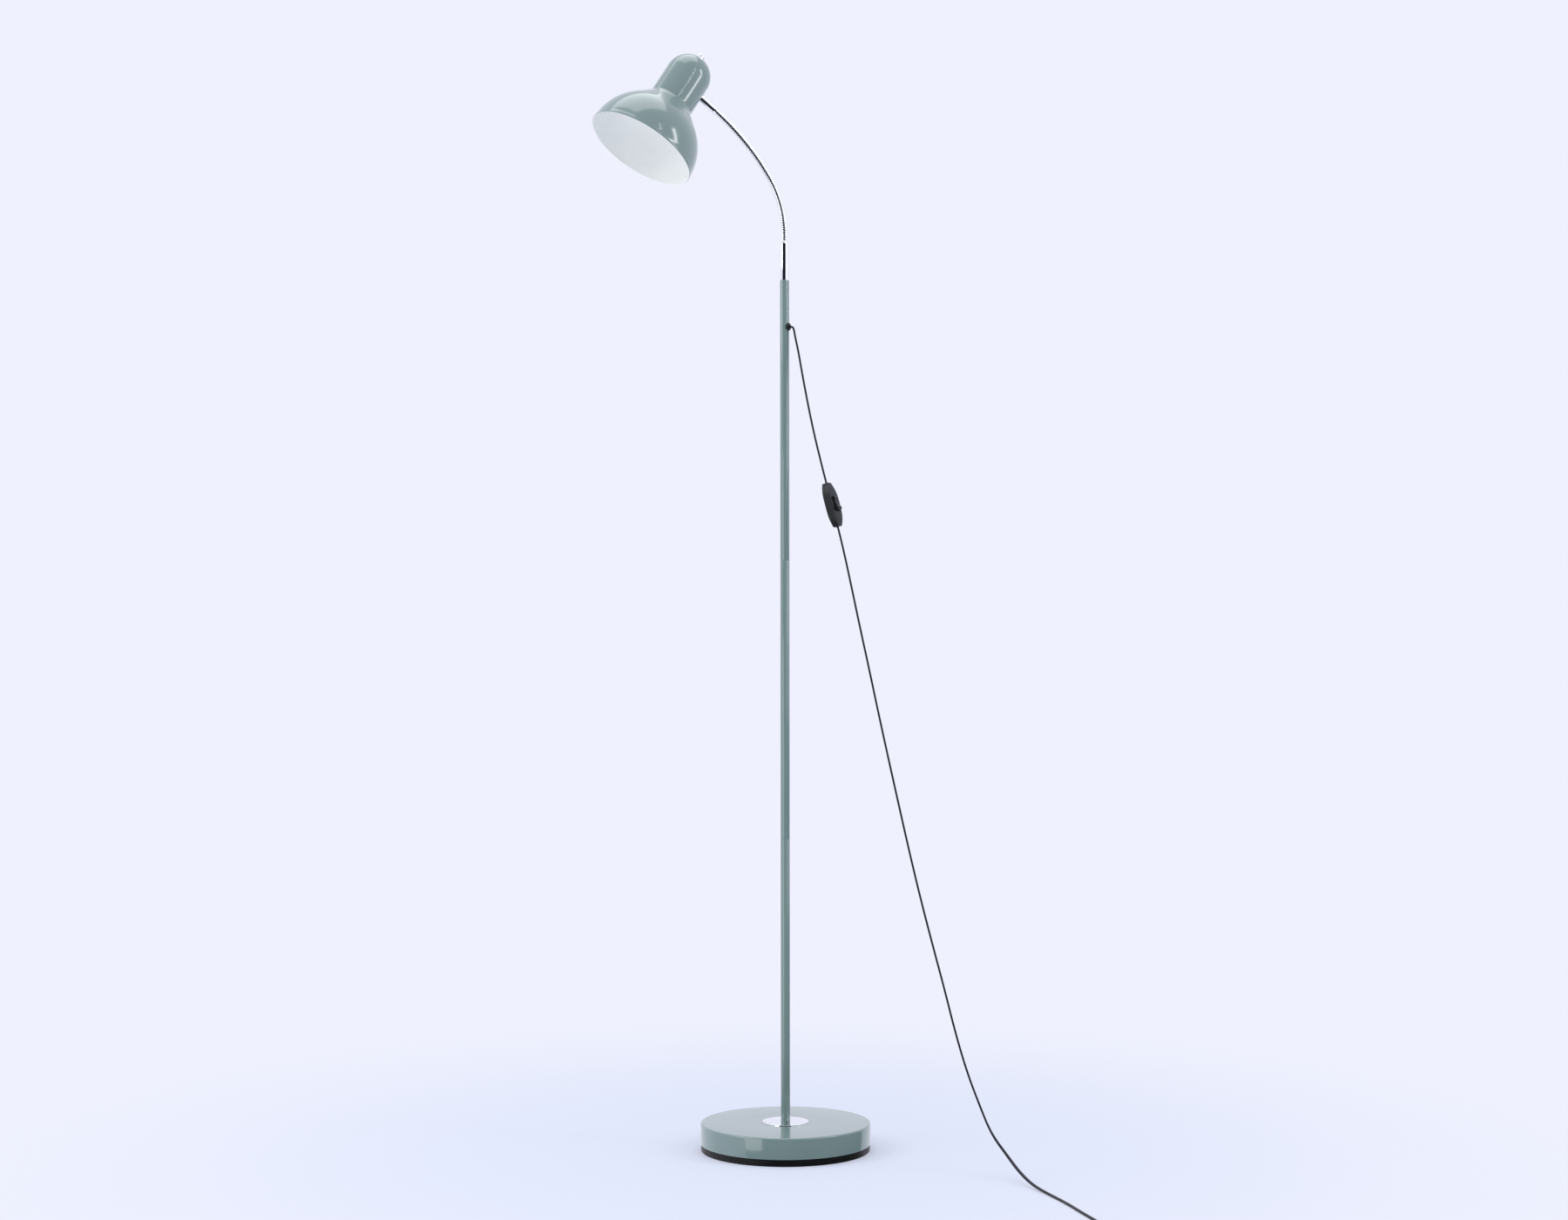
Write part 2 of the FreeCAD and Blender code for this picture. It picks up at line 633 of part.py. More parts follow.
def make_shade_dome():
    """Spun dome: ball, tangent cone and a short neck inside the cup."""
    neck = CUP_INNER_R - SEAT_GAP
    wall = SHADE_WALL
    inset = (wall * math.sin(CONE_TURN), wall * math.cos(CONE_TURN))
    break_point = (SHADE_BREAK_R, cone_height(SHADE_BREAK_R))
    inner_break = (break_point[0] - inset[0], break_point[1] - inset[1])
    inner_top = (neck - CUP_LAP_T, cone_height(neck - CUP_LAP_T + inset[0]) - inset[1])
    belly = math.sqrt(SHADE_BALL_R ** 2 - (SHADE_BELLY_H - SHADE_BALL_H) ** 2)
    low = (belly, SHADE_BELLY_H)
    middle_r = (SHADE_BREAK_R + belly) / 2.0
    outer_mid = (middle_r, ball_height(middle_r, SHADE_BALL_R))
    inner_low = (belly - wall, SHADE_BELLY_H)
    inner_ball = math.hypot(inner_low[0], inner_low[1] - SHADE_BALL_H)
    inner_mid = (middle_r - wall, ball_height(middle_r - wall, inner_ball))
    rim_in = SHADE_R - SHADE_RIM_T
    lap_top = CUP_BOTTOM_H + CUP_LAP_H
    edge = SHADE_RIM_EDGE
    return turned((SHADE_R - edge, 0), (SHADE_R, edge), (SHADE_R, SHADE_RIM_H), low,
                  (outer_mid, break_point), (neck, cone_height(neck)), (neck, lap_top),
                  (neck - CUP_LAP_T, lap_top), inner_top, inner_break, (inner_mid, inner_low),
                  (rim_in, SHADE_RIM_H), (rim_in, edge), (rim_in + edge, 0))


def make_shade_cup():
    """Deep drawn cup with a round top, a flared foot, and holes for ferrule and nipple."""
    inner = CUP_INNER_R
    flare_r = CUP_R + CUP_FLARE
    flare_h = cone_height(flare_r) + (CUP_FLARE + CUP_LIP + RUN_GAP) / math.cos(CONE_TURN)
    flare_end = 270 - math.degrees(CONE_TURN)
    outer_bend = CUP_FLARE
    inner_bend = CUP_FLARE + SHADE_WALL
    feather = math.degrees(math.acos((CUP_FLARE + CUP_LIP) / inner_bend))
    inner_end = flare_end - feather
    diagonal = math.sqrt(0.5)
    nipple_hole = NIPPLE_R + SEAT_GAP
    outer_hole_h = CUP_SHOULDER_H + math.sqrt(CUP_R ** 2 - nipple_hole ** 2)
    inner_hole_h = CUP_SHOULDER_H + math.sqrt(inner ** 2 - nipple_hole ** 2)
    cup = turned(on_arc(flare_r, flare_h, inner_bend, inner_end),
                 on_arc(flare_r, flare_h, outer_bend + CUP_LIP, flare_end),
                 on_arc(flare_r, flare_h, outer_bend, flare_end),
                 (on_arc(flare_r, flare_h, outer_bend, (180 + flare_end) / 2.0), (CUP_R, flare_h)),
                 (CUP_R, CUP_SHOULDER_H),
                 ((CUP_R * diagonal, CUP_SHOULDER_H + CUP_R * diagonal), (nipple_hole, outer_hole_h)),
                 (nipple_hole, inner_hole_h),
                 ((inner * diagonal, CUP_SHOULDER_H + inner * diagonal), (inner, CUP_SHOULDER_H)),
                 (inner, flare_h),
                 (on_arc(flare_r, flare_h, inner_bend, (180 + inner_end) / 2.0),
                  on_arc(flare_r, flare_h, inner_bend, inner_end)))
    hole = cup_side(rod(FERRULE_SPIGOT_R + SEAT_GAP, CUP_R / 2.0, CUP_R + PAST))
    return cup.cut(hole)


def make_ferrule():
    """Chrome end tube of the gooseneck with a threaded spigot inside the cup."""
    nut_face = CUP_INNER_R - SADDLE_T
    tip = nut_face - FERRULE_NUT_T - FERRULE_TAIL
    end = CUP_R + FERRULE_L - BEND_GAP / 2.0
    barrel = turned((0, CUP_R - PAST), (FERRULE_R, CUP_R - PAST), (FERRULE_R, end - FERRULE_TAPER_L),
                    (NECK_ROOT_R, end), (0, end))
    barrel = cup_side(barrel).cut(cup_wall(CUP_R + LAY_GAP))
    spigot = cup_side(rod(FERRULE_SPIGOT_R, tip, CUP_R + PAST))
    bore = cup_side(rod(FERRULE_BORE_R, tip - PAST, end + PAST))
    return barrel.fuse(spigot).cut(bore).removeSplitter()


def make_saddle_washer():
    """Washer with a curved back that fits the inside of the cup."""
    flat = CUP_INNER_R - SADDLE_T
    ring = cup_side(tube(SADDLE_R, FERRULE_SPIGOT_R + SEAT_GAP, flat, CUP_R, 0.0))
    return ring.common(cup_wall(CUP_INNER_R - RUN_GAP))


def make_holder_skirt():
    """Insulating skirt round the screw shell, closed by a floor."""
    low = HOLDER_MOUTH_H
    high = low + HOLDER_SKIRT_L
    floor = high - HOLDER_FLOOR_T
    ring_top = low + HOLDER_RING_L
    waist = HOLDER_SKIRT_R - HOLDER_RING_STEP
    return turned((HOLDER_SKIRT_BORE_R, low), (HOLDER_SKIRT_R - HOLDER_RIM, low),
                  (HOLDER_SKIRT_R, low + HOLDER_RIM), (HOLDER_SKIRT_R, ring_top),
                  (waist, ring_top + HOLDER_RING_STEP), (waist, high), (0, high), (0, floor),
                  (HOLDER_SKIRT_BORE_R, floor))


def make_holder_cap():
    """Upper half of the lampholder, screwed to the nipple."""
    low = HOLDER_MOUTH_H + HOLDER_SKIRT_L
    bore = NIPPLE_R + RUN_GAP
    inner = HOLDER_SKIRT_R - HOLDER_CAP_WALL
    neck_low = HOLDER_CAP_TOP - NIPPLE_IN_CAP - NECK_SOCKET_SPARE
    return turned((HOLDER_SKIRT_R, low), (HOLDER_SKIRT_R, low + HOLDER_CAP_SKIRT),
                  (HOLDER_CAP_TOP_R + HOLDER_CAP_SLOPE, HOLDER_CAP_TOP - HOLDER_CAP_SLOPE),
                  (HOLDER_CAP_TOP_R, HOLDER_CAP_TOP), (bore, HOLDER_CAP_TOP), (bore, neck_low),
                  (HOLDER_CAP_TOP_R, neck_low), (inner, low + HOLDER_CAP_SKIRT), (inner, low))


def make_lampholder():
    low = HOLDER_MOUTH_H + SHELL_SETBACK
    outer = HOLDER_SKIRT_BORE_R - RUN_GAP
    shell = tube(outer, outer - SHELL_WALL, low, low + SHELL_L)
    floor = HOLDER_MOUTH_H + HOLDER_SKIRT_L - HOLDER_FLOOR_T
    post = rod(CONTACT_POST_R, floor - CONTACT_POST_L, floor)
    tongue = Part.makeBox(2.0 * CONTACT_R, CONTACT_R, CONTACT_T,
                          vec(-CONTACT_R, -CONTACT_R / 2.0, floor - CONTACT_POST_L))
    save("lampholder_skirt", moved(make_holder_skirt(), HEAD))
    save("lampholder_cap", moved(make_holder_cap(), HEAD))
    save("screw_shell", moved(shell, HEAD))
    save("centre_contact", moved(post.fuse(tongue).removeSplitter(), HEAD))


def make_nipple_set():
    corner = NIPPLE_NUT_AF / math.sqrt(3.0)
    nut_top = CUP_SHOULDER_H + math.sqrt(CUP_INNER_R ** 2 - corner ** 2) - SEAT_GAP
    nipple_top = CUP_TOP_H + NIPPLE_OUT
    foot = CUP_TOP_H - FINIAL_SINK
    round_r = FINIAL_R - FINIAL_ROUND
    round_z = foot + FINIAL_L - FINIAL_ROUND
    nipple = tube(NIPPLE_R, NIPPLE_BORE_R, HOLDER_CAP_TOP - NIPPLE_IN_CAP, nipple_top, NIPPLE_EDGE)
    nut = hex_nut(NIPPLE_NUT_AF, NIPPLE_R + RUN_GAP, nut_top - NIPPLE_NUT_T, NIPPLE_NUT_T)
    finial = turned((0, foot), (FINIAL_R, foot), (FINIAL_R, round_z),
                    (on_arc(round_r, round_z, FINIAL_ROUND, 45), (round_r, foot + FINIAL_L)),
                    (0, foot + FINIAL_L))
    finial = finial.cut(rod(NIPPLE_R + RUN_GAP, foot - PAST, nipple_top + NIPPLE_EDGE))
    save("cup_nipple", moved(nipple, HEAD))
    save("nipple_nut", moved(nut, HEAD))
    save("finial_nut", moved(finial, HEAD))


def make_lamp_wires():
    """Two wires from the ferrule, over the edge and down into the lampholder's cap."""
    tip = CUP_INNER_R - SADDLE_T - FERRULE_NUT_T - FERRULE_TAIL
    rise_x = tip - WIRE_FOOT_R
    drop_x = HOLDER_CAP_TOP_R - WIRE_INSET
    loop_r = (rise_x - drop_x) / 2.0
    diagonal = math.sqrt(0.5)
    wires = []
    for y in (-WIRE_OFFSET, WIRE_OFFSET):
        start = vec(tip + WIRE_IN_FERRULE, y, FERRULE_H)
        foot = vec(tip, y, FERRULE_H)
        foot_mid = vec(tip - WIRE_FOOT_R * diagonal, y, FERRULE_H + WIRE_FOOT_R * (1.0 - diagonal))
        rise = vec(rise_x, y, FERRULE_H + WIRE_FOOT_R)
        loop_start = vec(rise_x, y, WIRE_LOOP_H)
        loop_top = vec(rise_x - loop_r, y, WIRE_LOOP_H + loop_r)
        loop_end = vec(drop_x, y, WIRE_LOOP_H)
        path = Part.Wire([Part.LineSegment(start, foot).toShape(),
                          Part.Arc(foot, foot_mid, rise).toShape(),
                          Part.LineSegment(rise, loop_start).toShape(),
                          Part.Arc(loop_start, loop_top, loop_end).toShape(),
                          Part.LineSegment(loop_end, vec(drop_x, y, HOLDER_CAP_TOP)).toShape()])
        section = section_at(start, vec(-1, 0, 0), WIRE_R, CORD_SIDES)
        wires.append(moved(path.makePipeShell([section], True, False), HEAD))
    return wires


def make_head():
    nut_low = CUP_INNER_R - SADDLE_T - FERRULE_NUT_T
    nut = cup_side(hex_nut(FERRULE_NUT_AF, FERRULE_SPIGOT_R + RUN_GAP, nut_low, FERRULE_NUT_T))
    save("shade_dome", moved(make_shade_dome(), HEAD))
    save("shade_cup", moved(make_shade_cup(), HEAD))
    save("neck_ferrule", moved(make_ferrule(), HEAD))
    save("saddle_washer", moved(make_saddle_washer(), HEAD))
    save("ferrule_nut", moved(nut, HEAD))
    save("lamp_wires", *make_lamp_wires())
    make_lampholder()
    make_nipple_set()


# ---------------------------------------------------------------- switch
def switch_placement():
    """Local X runs down the cord, local Z points away from the pole, local Y is level."""
    top = outward(*CORD_UPPER[-1])
    bottom = outward(*CORD_LOWER[0])
    along = (bottom - top).normalize()
    side = outward(0.0, 0.0, 1.0)
    face = along.cross(side)
    return frame_placement((top + bottom) * 0.5, along, side, face)


def switch_block(inset=0.0):
    """Arched body, narrow at both ends; inset gives the room inside its walls."""
    half = SWITCH_L / 2.0 - inset
    width = SWITCH_W / 2.0 - inset
    end_width = SWITCH_END_W / 2.0 - inset
    face = SWITCH_T / 2.0 - inset
    end_face = SWITCH_END_T / 2.0 - inset
    flat = SWITCH_FLAT_L / 2.0
    bend_x = (half + flat) / 2.0
    bend_y = width - SWITCH_SHOULDER
    plan = outline_face(level, (-half, -end_width), (-half, end_width),
                        ((-bend_x, bend_y), (-flat, width)), (flat, width),
                        ((bend_x, bend_y), (half, end_width)), (half, -end_width),
                        ((bend_x, -bend_y), (flat, -width)), (-flat, -width),
                        ((-bend_x, -bend_y), (-half, -end_width)))
    side = outline_face(upright, (-half, -end_face), (-half, end_face), ((0, face), (half, end_face)),
                        (half, -end_face), ((0, SWITCH_ARCH - face), (-half, -end_face)))
    plan.translate(vec(0, 0, -SWITCH_T))
    side.translate(vec(0, -SWITCH_W, 0))
    return plan.extrude(vec(0, 0, 2.0 * SWITCH_T)).common(side.extrude(vec(0, 2.0 * SWITCH_W, 0)))


def make_rocker():
    """Two-winged rocker with a shallow saddle between the wings."""
    top = SWITCH_T / 2.0 + ROCKER_RISE
    half = ROCKER_L / 2.0
    crown = half - ROCKER_WING
    bend = (half - ROCKER_WING / 3.0, top - ROCKER_END / 5.0)
    face = outline_face(upright, (-half, ROCKER_HEEL), (-half, top - ROCKER_END),
                        ((-bend[0], bend[1]), (-crown, top)), ((0, top - ROCKER_SADDLE), (crown, top)),
                        (bend, (half, top - ROCKER_END)), (half, ROCKER_HEEL),
                        ((0, -ROCKER_KEEL), (-half, ROCKER_HEEL)))
    face.translate(vec(0, -ROCKER_W / 2.0, 0))
    return face.extrude(vec(0, ROCKER_W, 0)).cut(across_rod(PIVOT_R + RUN_GAP, ROCKER_W, PIVOT_Z))


def across_rod(radius, half, z):
    """Cylinder along local Y."""
    return Part.makeCylinder(radius, 2.0 * half, vec(0, -half, z), vec(0, 1, 0))


def switch_screws():
    """Four screws in from the back."""
    back = -SWITCH_T / 2.0
    screws = []
    for x in (-SCREW_X, SCREW_X):
        for y in (-SCREW_Y, SCREW_Y):
            head = Part.makeCylinder(SCREW_HEAD_R, SCREW_HEAD_T, vec(x, y, back + SCREW_SUNK))
            shank = Part.makeCylinder(SCREW_R, SCREW_L, vec(x, y, back + SCREW_SUNK))
            screws.append(head.fuse(shank).removeSplitter())
    return screws


def make_switch_shells():
    """Hollow body with ears for the pivot pin and posts for the screws."""
    block = switch_block()
    back = -SWITCH_T / 2.0
    half_slot = ROCKER_W / 2.0 + ROCKER_GAP
    half_window = ROCKER_L / 2.0 + 2.0 * ROCKER_GAP
    inner_parts = []
    for y in (-half_slot - EAR_T, half_slot):
        ear = Part.makeBox(EAR_L, EAR_T, SWITCH_T, vec(-EAR_L / 2.0, y, back))
        inner_parts.append(ear.common(block))
    cord_way_start = vec(-SWITCH_L / 2.0 - PAST, 0, 0)
    cuts = [Part.makeBox(2.0 * half_window, 2.0 * half_slot, SWITCH_T, vec(-half_window, -half_slot, 0)),
            across_rod(PIVOT_R + RUN_GAP, PIN_HALF_L + SEAT_GAP, PIVOT_Z),
            Part.makeCylinder(CORD_R + 2.0 * SEAT_GAP, SWITCH_L + 2.0 * PAST, cord_way_start, vec(1, 0, 0))]
    for x in (-SCREW_X, SCREW_X):
        for y in (-SCREW_Y, SCREW_Y):
            post = Part.makeCylinder(SCREW_R + POST_WALL, SWITCH_T, vec(x, y, back))
            inner_parts.append(post.common(block))
            cuts.append(Part.makeCylinder(SCREW_HEAD_R + SEAT_GAP, SCREW_HEAD_T + SCREW_SUNK + PAST,
                                          vec(x, y, back - PAST)))
            bore_start = vec(x, y, back + SCREW_SUNK)
            cuts.append(Part.makeCylinder(SCREW_R + RUN_GAP, SCREW_L + SEAT_GAP, bore_start))
    solid = block.cut(switch_block(SWITCH_WALL)).multiFuse(inner_parts).cut(Part.makeCompound(cuts))
    size = 2.0 * SWITCH_L
    above = Part.makeBox(size, size, size, vec(-SWITCH_L, -SWITCH_L, SWITCH_PARTING / 2.0))
    below = Part.makeBox(size, size, size, vec(-SWITCH_L, -SWITCH_L, -SWITCH_PARTING / 2.0 - size))
    return solid.common(above), solid.common(below)


PIVOT_Z = SWITCH_T / 2.0 - PIVOT_DEPTH
PIN_HALF_L = ROCKER_W / 2.0 + ROCKER_GAP + EAR_T - 3.0 * SEAT_GAP


def make_switch():
    place = switch_placement()
    cover, back = make_switch_shells()
    pivot = vec(0, 0, PIVOT_Z)
    tilt = FreeCAD.Placement(vec(0, 0, 0), FreeCAD.Rotation(vec(0, 1, 0), -ROCKER_TILT / 2.0), pivot)
    save("switch_cover", moved(cover, place))
    save("switch_back", moved(back, place))
    save("switch_screws", *[moved(screw, place) for screw in switch_screws()])
    save("switch_rocker", moved(moved(make_rocker(), tilt), place))
    save("rocker_pin", moved(across_rod(PIVOT_R, PIN_HALF_L, PIVOT_Z), place))
    print("rocker pivot", place.multVec(pivot), "axis", place.Rotation.multVec(vec(0, 1, 0)))


# ---------------------------------------------------------------- cord, coil and plug
def coil_points():
    """Centreline of the coil: in on the lower layer, back out on the upper one."""
    total = COIL_TURNS_IN + COIL_TURNS_BACK + COIL_TURNS_OUT
    steps = int(round(total * COIL_STEPS_PER_TURN))
    climb = PLUG_T / 2.0 - CORD_LIE
    reversal = COIL_TURNS_IN + COIL_TURNS_BACK / 2.0
    inmost = COIL_OUTER_R - COIL_PITCH * reversal
    points = []
    for step in range(steps + 1):
        turn = total * step / steps
        radius = inmost + COIL_PITCH * abs(turn - reversal)
        share = min(1.0, max(0.0, (turn - COIL_TURNS_IN) / COIL_TURNS_BACK))
        angle = math.radians(COIL_START_DEG - 360.0 * turn)
        points.append(vec(COIL_X + radius * math.cos(angle), COIL_Y + radius * math.sin(angle),
                          CORD_LIE + climb * share))
    return points


def biarc(start, start_dir, end, end_dir):
    """Two tangent arcs between two points with given directions."""
    gap = end - start
    together = start_dir + end_dir
    a = 2.0 * (1.0 - start_dir.dot(end_dir))
    b = 2.0 * gap.dot(together)
    c = -gap.dot(gap)
    length = -c / b if abs(a) < 1e-9 else (-b + math.sqrt(b * b - 4.0 * a * c)) / (2.0 * a)
    knee_a = start + start_dir * length
    knee_b = end - end_dir * length
    joint = (knee_a + knee_b) * 0.5
    return [arc_from(start, start_dir, joint), arc_from(joint, (knee_b - knee_a).normalize(), end)]


def arc_from(start, direction, end):
    """Arc from its start, the direction there and its end."""
    chord = end - start
    across = chord - direction * chord.dot(direction)
    half = direction.getAngle(chord)
    sagitta = chord.Length / 2.0 * math.tan(half / 2.0)
    outward_dir = direction * chord.dot(direction) - chord
    side = (direction - chord * (direction.dot(chord) / chord.dot(chord)))
    if across.Length < 1e-6 or outward_dir.Length < 1e-6:
        return Part.LineSegment(start, end).toShape()
    middle = (start + end) * 0.5 + side.normalize() * sagitta
    return Part.Arc(start, middle, end).toShape()


def make_coil():
    """Coil with the straight lead-in and the lead-out to the plug."""
    points = coil_points()
    directions = []
    for i, point in enumerate(points):
        before = points[max(i - 1, 0)]
        after = points[min(i + 1, len(points) - 1)]
        directions.append((after - before).normalize())
    first_angle = math.radians(COIL_START_DEG)
    directions[0] = vec(math.sin(first_angle), -math.cos(first_angle), 0)
    last = points[-1] - vec(COIL_X, COIL_Y, points[-1].z)
    directions[-1] = vec(last.y, -last.x, 0).normalize()
    lead_in = vec(*CORD_FLOOR[-1])
    edges = biarc(lead_in, (points[0] - lead_in).normalize(), points[0], directions[0])
    for i in range(len(points) - 1):
        edges += biarc(points[i], directions[i], points[i + 1], directions[i + 1])
    end = points[-1] + directions[-1] * COIL_LEAD_OUT
    edges.append(Part.LineSegment(points[-1], end).toShape())
    path = Part.Wire(edges)
    start_dir = edges[0].tangentAt(edges[0].FirstParameter)
    section = section_at(lead_in, start_dir, CORD_R, CORD_SIDES)
    solid = path.makePipeShell([section], True, False)
    print("cord_coil length %.1f, volume ratio %.4f" % (
        path.Length, solid.Volume / (math.pi * CORD_R ** 2 * path.Length)))
    print_least_gap(path)
    return solid, end, directions[-1]


def print_least_gap(path):
    """Least gap between parts of the coil that are at least half its inmost turn apart."""
    count = int(path.Length / GAP_STEP)
    samples = path.discretize(Number=count)
    apart = int(math.pi * (COIL_OUTER_R - 2.0 * COIL_PITCH) / 2.0 / GAP_STEP)
    least = path.Length
    for i in range(count):
        for j in range(i + apart, count):
            least = min(least, (samples[i] - samples[j]).Length)
    print("cord_coil least gap to itself %.2f" % (least - 2.0 * CORD_R))


def make_coil_tie():
    """Tie round the turns on one side of the coil."""
    low = COIL_OUTER_R - COIL_PITCH * (COIL_TURNS_IN + COIL_TURNS_BACK / 2.0) - CORD_R - TIE_GAP
    high = COIL_OUTER_R + CORD_R + TIE_GAP
    top = PLUG_T / 2.0 + CORD_R + TIE_GAP
    hole = Part.makeBox(high - low, TIE_W + 2.0 * PAST, top + PAST, vec(low, -TIE_W / 2.0 - PAST, -PAST))
    band = Part.makeBox(high - low + 2.0 * TIE_T, TIE_W, top + TIE_T, vec(low - TIE_T, -TIE_W / 2.0, 0))
    turn = FreeCAD.Placement(vec(COIL_X, COIL_Y, 0), FreeCAD.Rotation(vec(0, 0, 1), TIE_AT_DEG))
    return moved(band.cut(hole), turn)


def make_plug_body():
    """Flat body along local X with drawn-in shoulders, rounded corners and holes for its pins."""
    half = PLUG_W / 2.0
    neck = PLUG_NECK_W / 2.0
    shoulder = BOOT_L + PLUG_NECK_L
    face = shoulder + PLUG_L
    bend = (BOOT_L + PLUG_NECK_L / 2.0, neck + PLUG_SHOULDER)
    plan = outline_face(level, (BOOT_L, -neck), (BOOT_L, neck), (bend, (shoulder, half)), (face, half),
                        (face, -half), (shoulder, -half), ((bend[0], -bend[1]), (BOOT_L, -neck)))
    plan.translate(vec(0, 0, -PLUG_T / 2.0))
    body = plan.extrude(vec(0, 0, PLUG_T))
    corners = [edge for edge in body.Edges if edge.BoundBox.ZLength > PLUG_T / 2.0
               and edge.BoundBox.XMin > face - PAST]
    body = body.makeFillet(PLUG_ROUND, corners)
    rims = [edge for edge in body.Edges if edge.BoundBox.ZLength < PLUG_EDGE
            and edge.BoundBox.XMax > shoulder + PAST]
    body = body.makeChamfer(PLUG_EDGE, rims)
    for y in (-PIN_SPACING / 2.0, PIN_SPACING / 2.0):
        hole_start = vec(face - PIN_TANG_L - SEAT_GAP, y, 0)
        body = body.cut(Part.makeCylinder(PIN_TANG_R + RUN_GAP, PIN_TANG_L + PAST, hole_start, vec(1, 0, 0)))
    return body


def make_plug_boot():
    """Tapered and grooved boot along local X."""
    def flank(along):
        return BOOT_END_R + (BOOT_R - BOOT_END_R) * along / BOOT_L

    profile = [(BOOT_END_R, 0)]
    for groove in range(BOOT_GROOVES):
        low = BOOT_TAIL + groove * BOOT_GROOVE_PITCH
        high = low + BOOT_GROOVE_W
        profile += [(flank(low), low), (flank(low) - BOOT_GROOVE_D, low),
                    (flank(low) - BOOT_GROOVE_D, high), (flank(high), high)]
    boot = turned((0, 0), *profile, (BOOT_R, BOOT_L), (0, BOOT_L))
    return moved(boot, FreeCAD.Placement(vec(0, 0, 0), FreeCAD.Rotation(vec(0, 1, 0), 90)))


def make_plug(end, direction):
    """Flat two-pin plug with a tapered boot, lying on the floor."""
    up = vec(0, 0, 1)
    ahead = vec(1, 0, 0)
    place = frame_placement(end, direction, up.cross(direction), up)
    face = BOOT_L + PLUG_NECK_L + PLUG_L
    pins = []
    for y in (-PIN_SPACING / 2.0, PIN_SPACING / 2.0):
        shank = Part.makeCylinder(PIN_R, PIN_L, vec(face, y, 0), ahead)
        tang = Part.makeCylinder(PIN_TANG_R, PIN_TANG_L, vec(face - PIN_TANG_L, y, 0), ahead)
        pins.append(shank.fuse(tang).removeSplitter())
    save("plug_body", moved(make_plug_body(), place))
    save("plug_boot", moved(make_plug_boot(), place))
    save("plug_pins", *[moved(pin, place) for pin in pins])
    print("plug faces", place.multVec(vec(face, 0, 0)), "along", direction)


def make_cord():
    upper = [outward(*point) for point in CORD_UPPER]
    lower = [outward(*point) for point in CORD_LOWER] + [vec(*point) for point in CORD_FLOOR]
    save("cord_upper", cord_tube(upper, "cord_upper"))
    save("cord_lower", cord_tube(lower, "cord_lower"))
    coil, end, direction = make_coil()
    save("cord_coil", coil)
    save("coil_tie", make_coil_tie())
    make_plug(end, direction)


# ---------------------------------------------------------------- build
save("base_tray", make_base_tray())
save("base_cover", make_base_cover())
save("base_weight", make_base_weight())
save("base_disc", make_base_disc())
make_base_fasteners()
make_pole()
save("neck_sleeve", make_neck_sleeve())
save("cord_grommet", make_grommet())
save("pole_lead", make_pole_lead())
for number in range(STRETCHES):
    save("neck_stretch_%d" % (number + 1), make_neck_stretch(number))
make_head()
make_switch()
make_cord()

for number in range(STRETCHES):
    bend_point = neck_point(NECK_L * (number + 1) / STRETCHES)[0]
    print("bend %d at %.2f 0 %.2f" % (number + 1, bend_point.x, bend_point.z))
print("head origin", HEAD_ORIGIN, "up", HEAD_UP)
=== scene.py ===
"""Finishes, fine forms and studio of a gooseneck reading floor lamp, built round its solids.

Lengths are in metres, in the lamp's own frame: +Z up the pole, the origin under the middle of
the base, the flexible neck leaning towards -X in the plane Y = 0.
"""

import json
import logging
import math
from dataclasses import dataclass, field
from enum import Enum
from typing import Optional, Sequence

import bmesh
import bpy
from mathutils import Matrix, Vector

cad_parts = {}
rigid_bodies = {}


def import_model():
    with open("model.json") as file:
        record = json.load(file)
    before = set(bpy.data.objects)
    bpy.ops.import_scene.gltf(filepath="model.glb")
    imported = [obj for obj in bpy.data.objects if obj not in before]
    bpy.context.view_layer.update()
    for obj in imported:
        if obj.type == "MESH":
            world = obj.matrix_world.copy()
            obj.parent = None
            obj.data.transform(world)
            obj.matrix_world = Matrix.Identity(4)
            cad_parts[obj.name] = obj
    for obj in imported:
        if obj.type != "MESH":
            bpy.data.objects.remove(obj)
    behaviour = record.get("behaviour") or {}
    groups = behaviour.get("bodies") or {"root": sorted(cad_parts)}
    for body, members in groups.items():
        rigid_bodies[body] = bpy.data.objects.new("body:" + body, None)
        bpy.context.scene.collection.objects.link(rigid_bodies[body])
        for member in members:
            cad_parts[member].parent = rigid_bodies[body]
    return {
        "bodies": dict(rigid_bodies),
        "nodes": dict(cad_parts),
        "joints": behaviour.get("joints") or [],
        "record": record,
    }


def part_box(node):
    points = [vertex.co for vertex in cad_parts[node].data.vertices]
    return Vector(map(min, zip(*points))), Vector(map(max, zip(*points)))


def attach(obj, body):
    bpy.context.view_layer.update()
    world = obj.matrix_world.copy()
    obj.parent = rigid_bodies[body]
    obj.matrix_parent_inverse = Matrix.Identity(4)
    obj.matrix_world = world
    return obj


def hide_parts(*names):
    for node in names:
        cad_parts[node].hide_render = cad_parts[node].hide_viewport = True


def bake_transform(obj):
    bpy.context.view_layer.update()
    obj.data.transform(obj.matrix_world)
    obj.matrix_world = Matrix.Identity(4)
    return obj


LOG = logging.getLogger("lamp")
MM = 0.001
Colour = tuple[float, float, float]


class Slot(Enum):
    """Material slots of the record that a piece may take its finish from."""

    SAGE_PAINT = "sage_paint"
    SHADE_PAINT = "shade_paint"
    CHROME = "chrome"
    BLACK_MOULDING = "black_moulding"
    BLACK_CORD = "black_cord"
    IRON = "iron"
    ZINC_STEEL = "zinc_steel"
    BRASS = "brass"
    HOLDER_MOULDING = "holder_moulding"


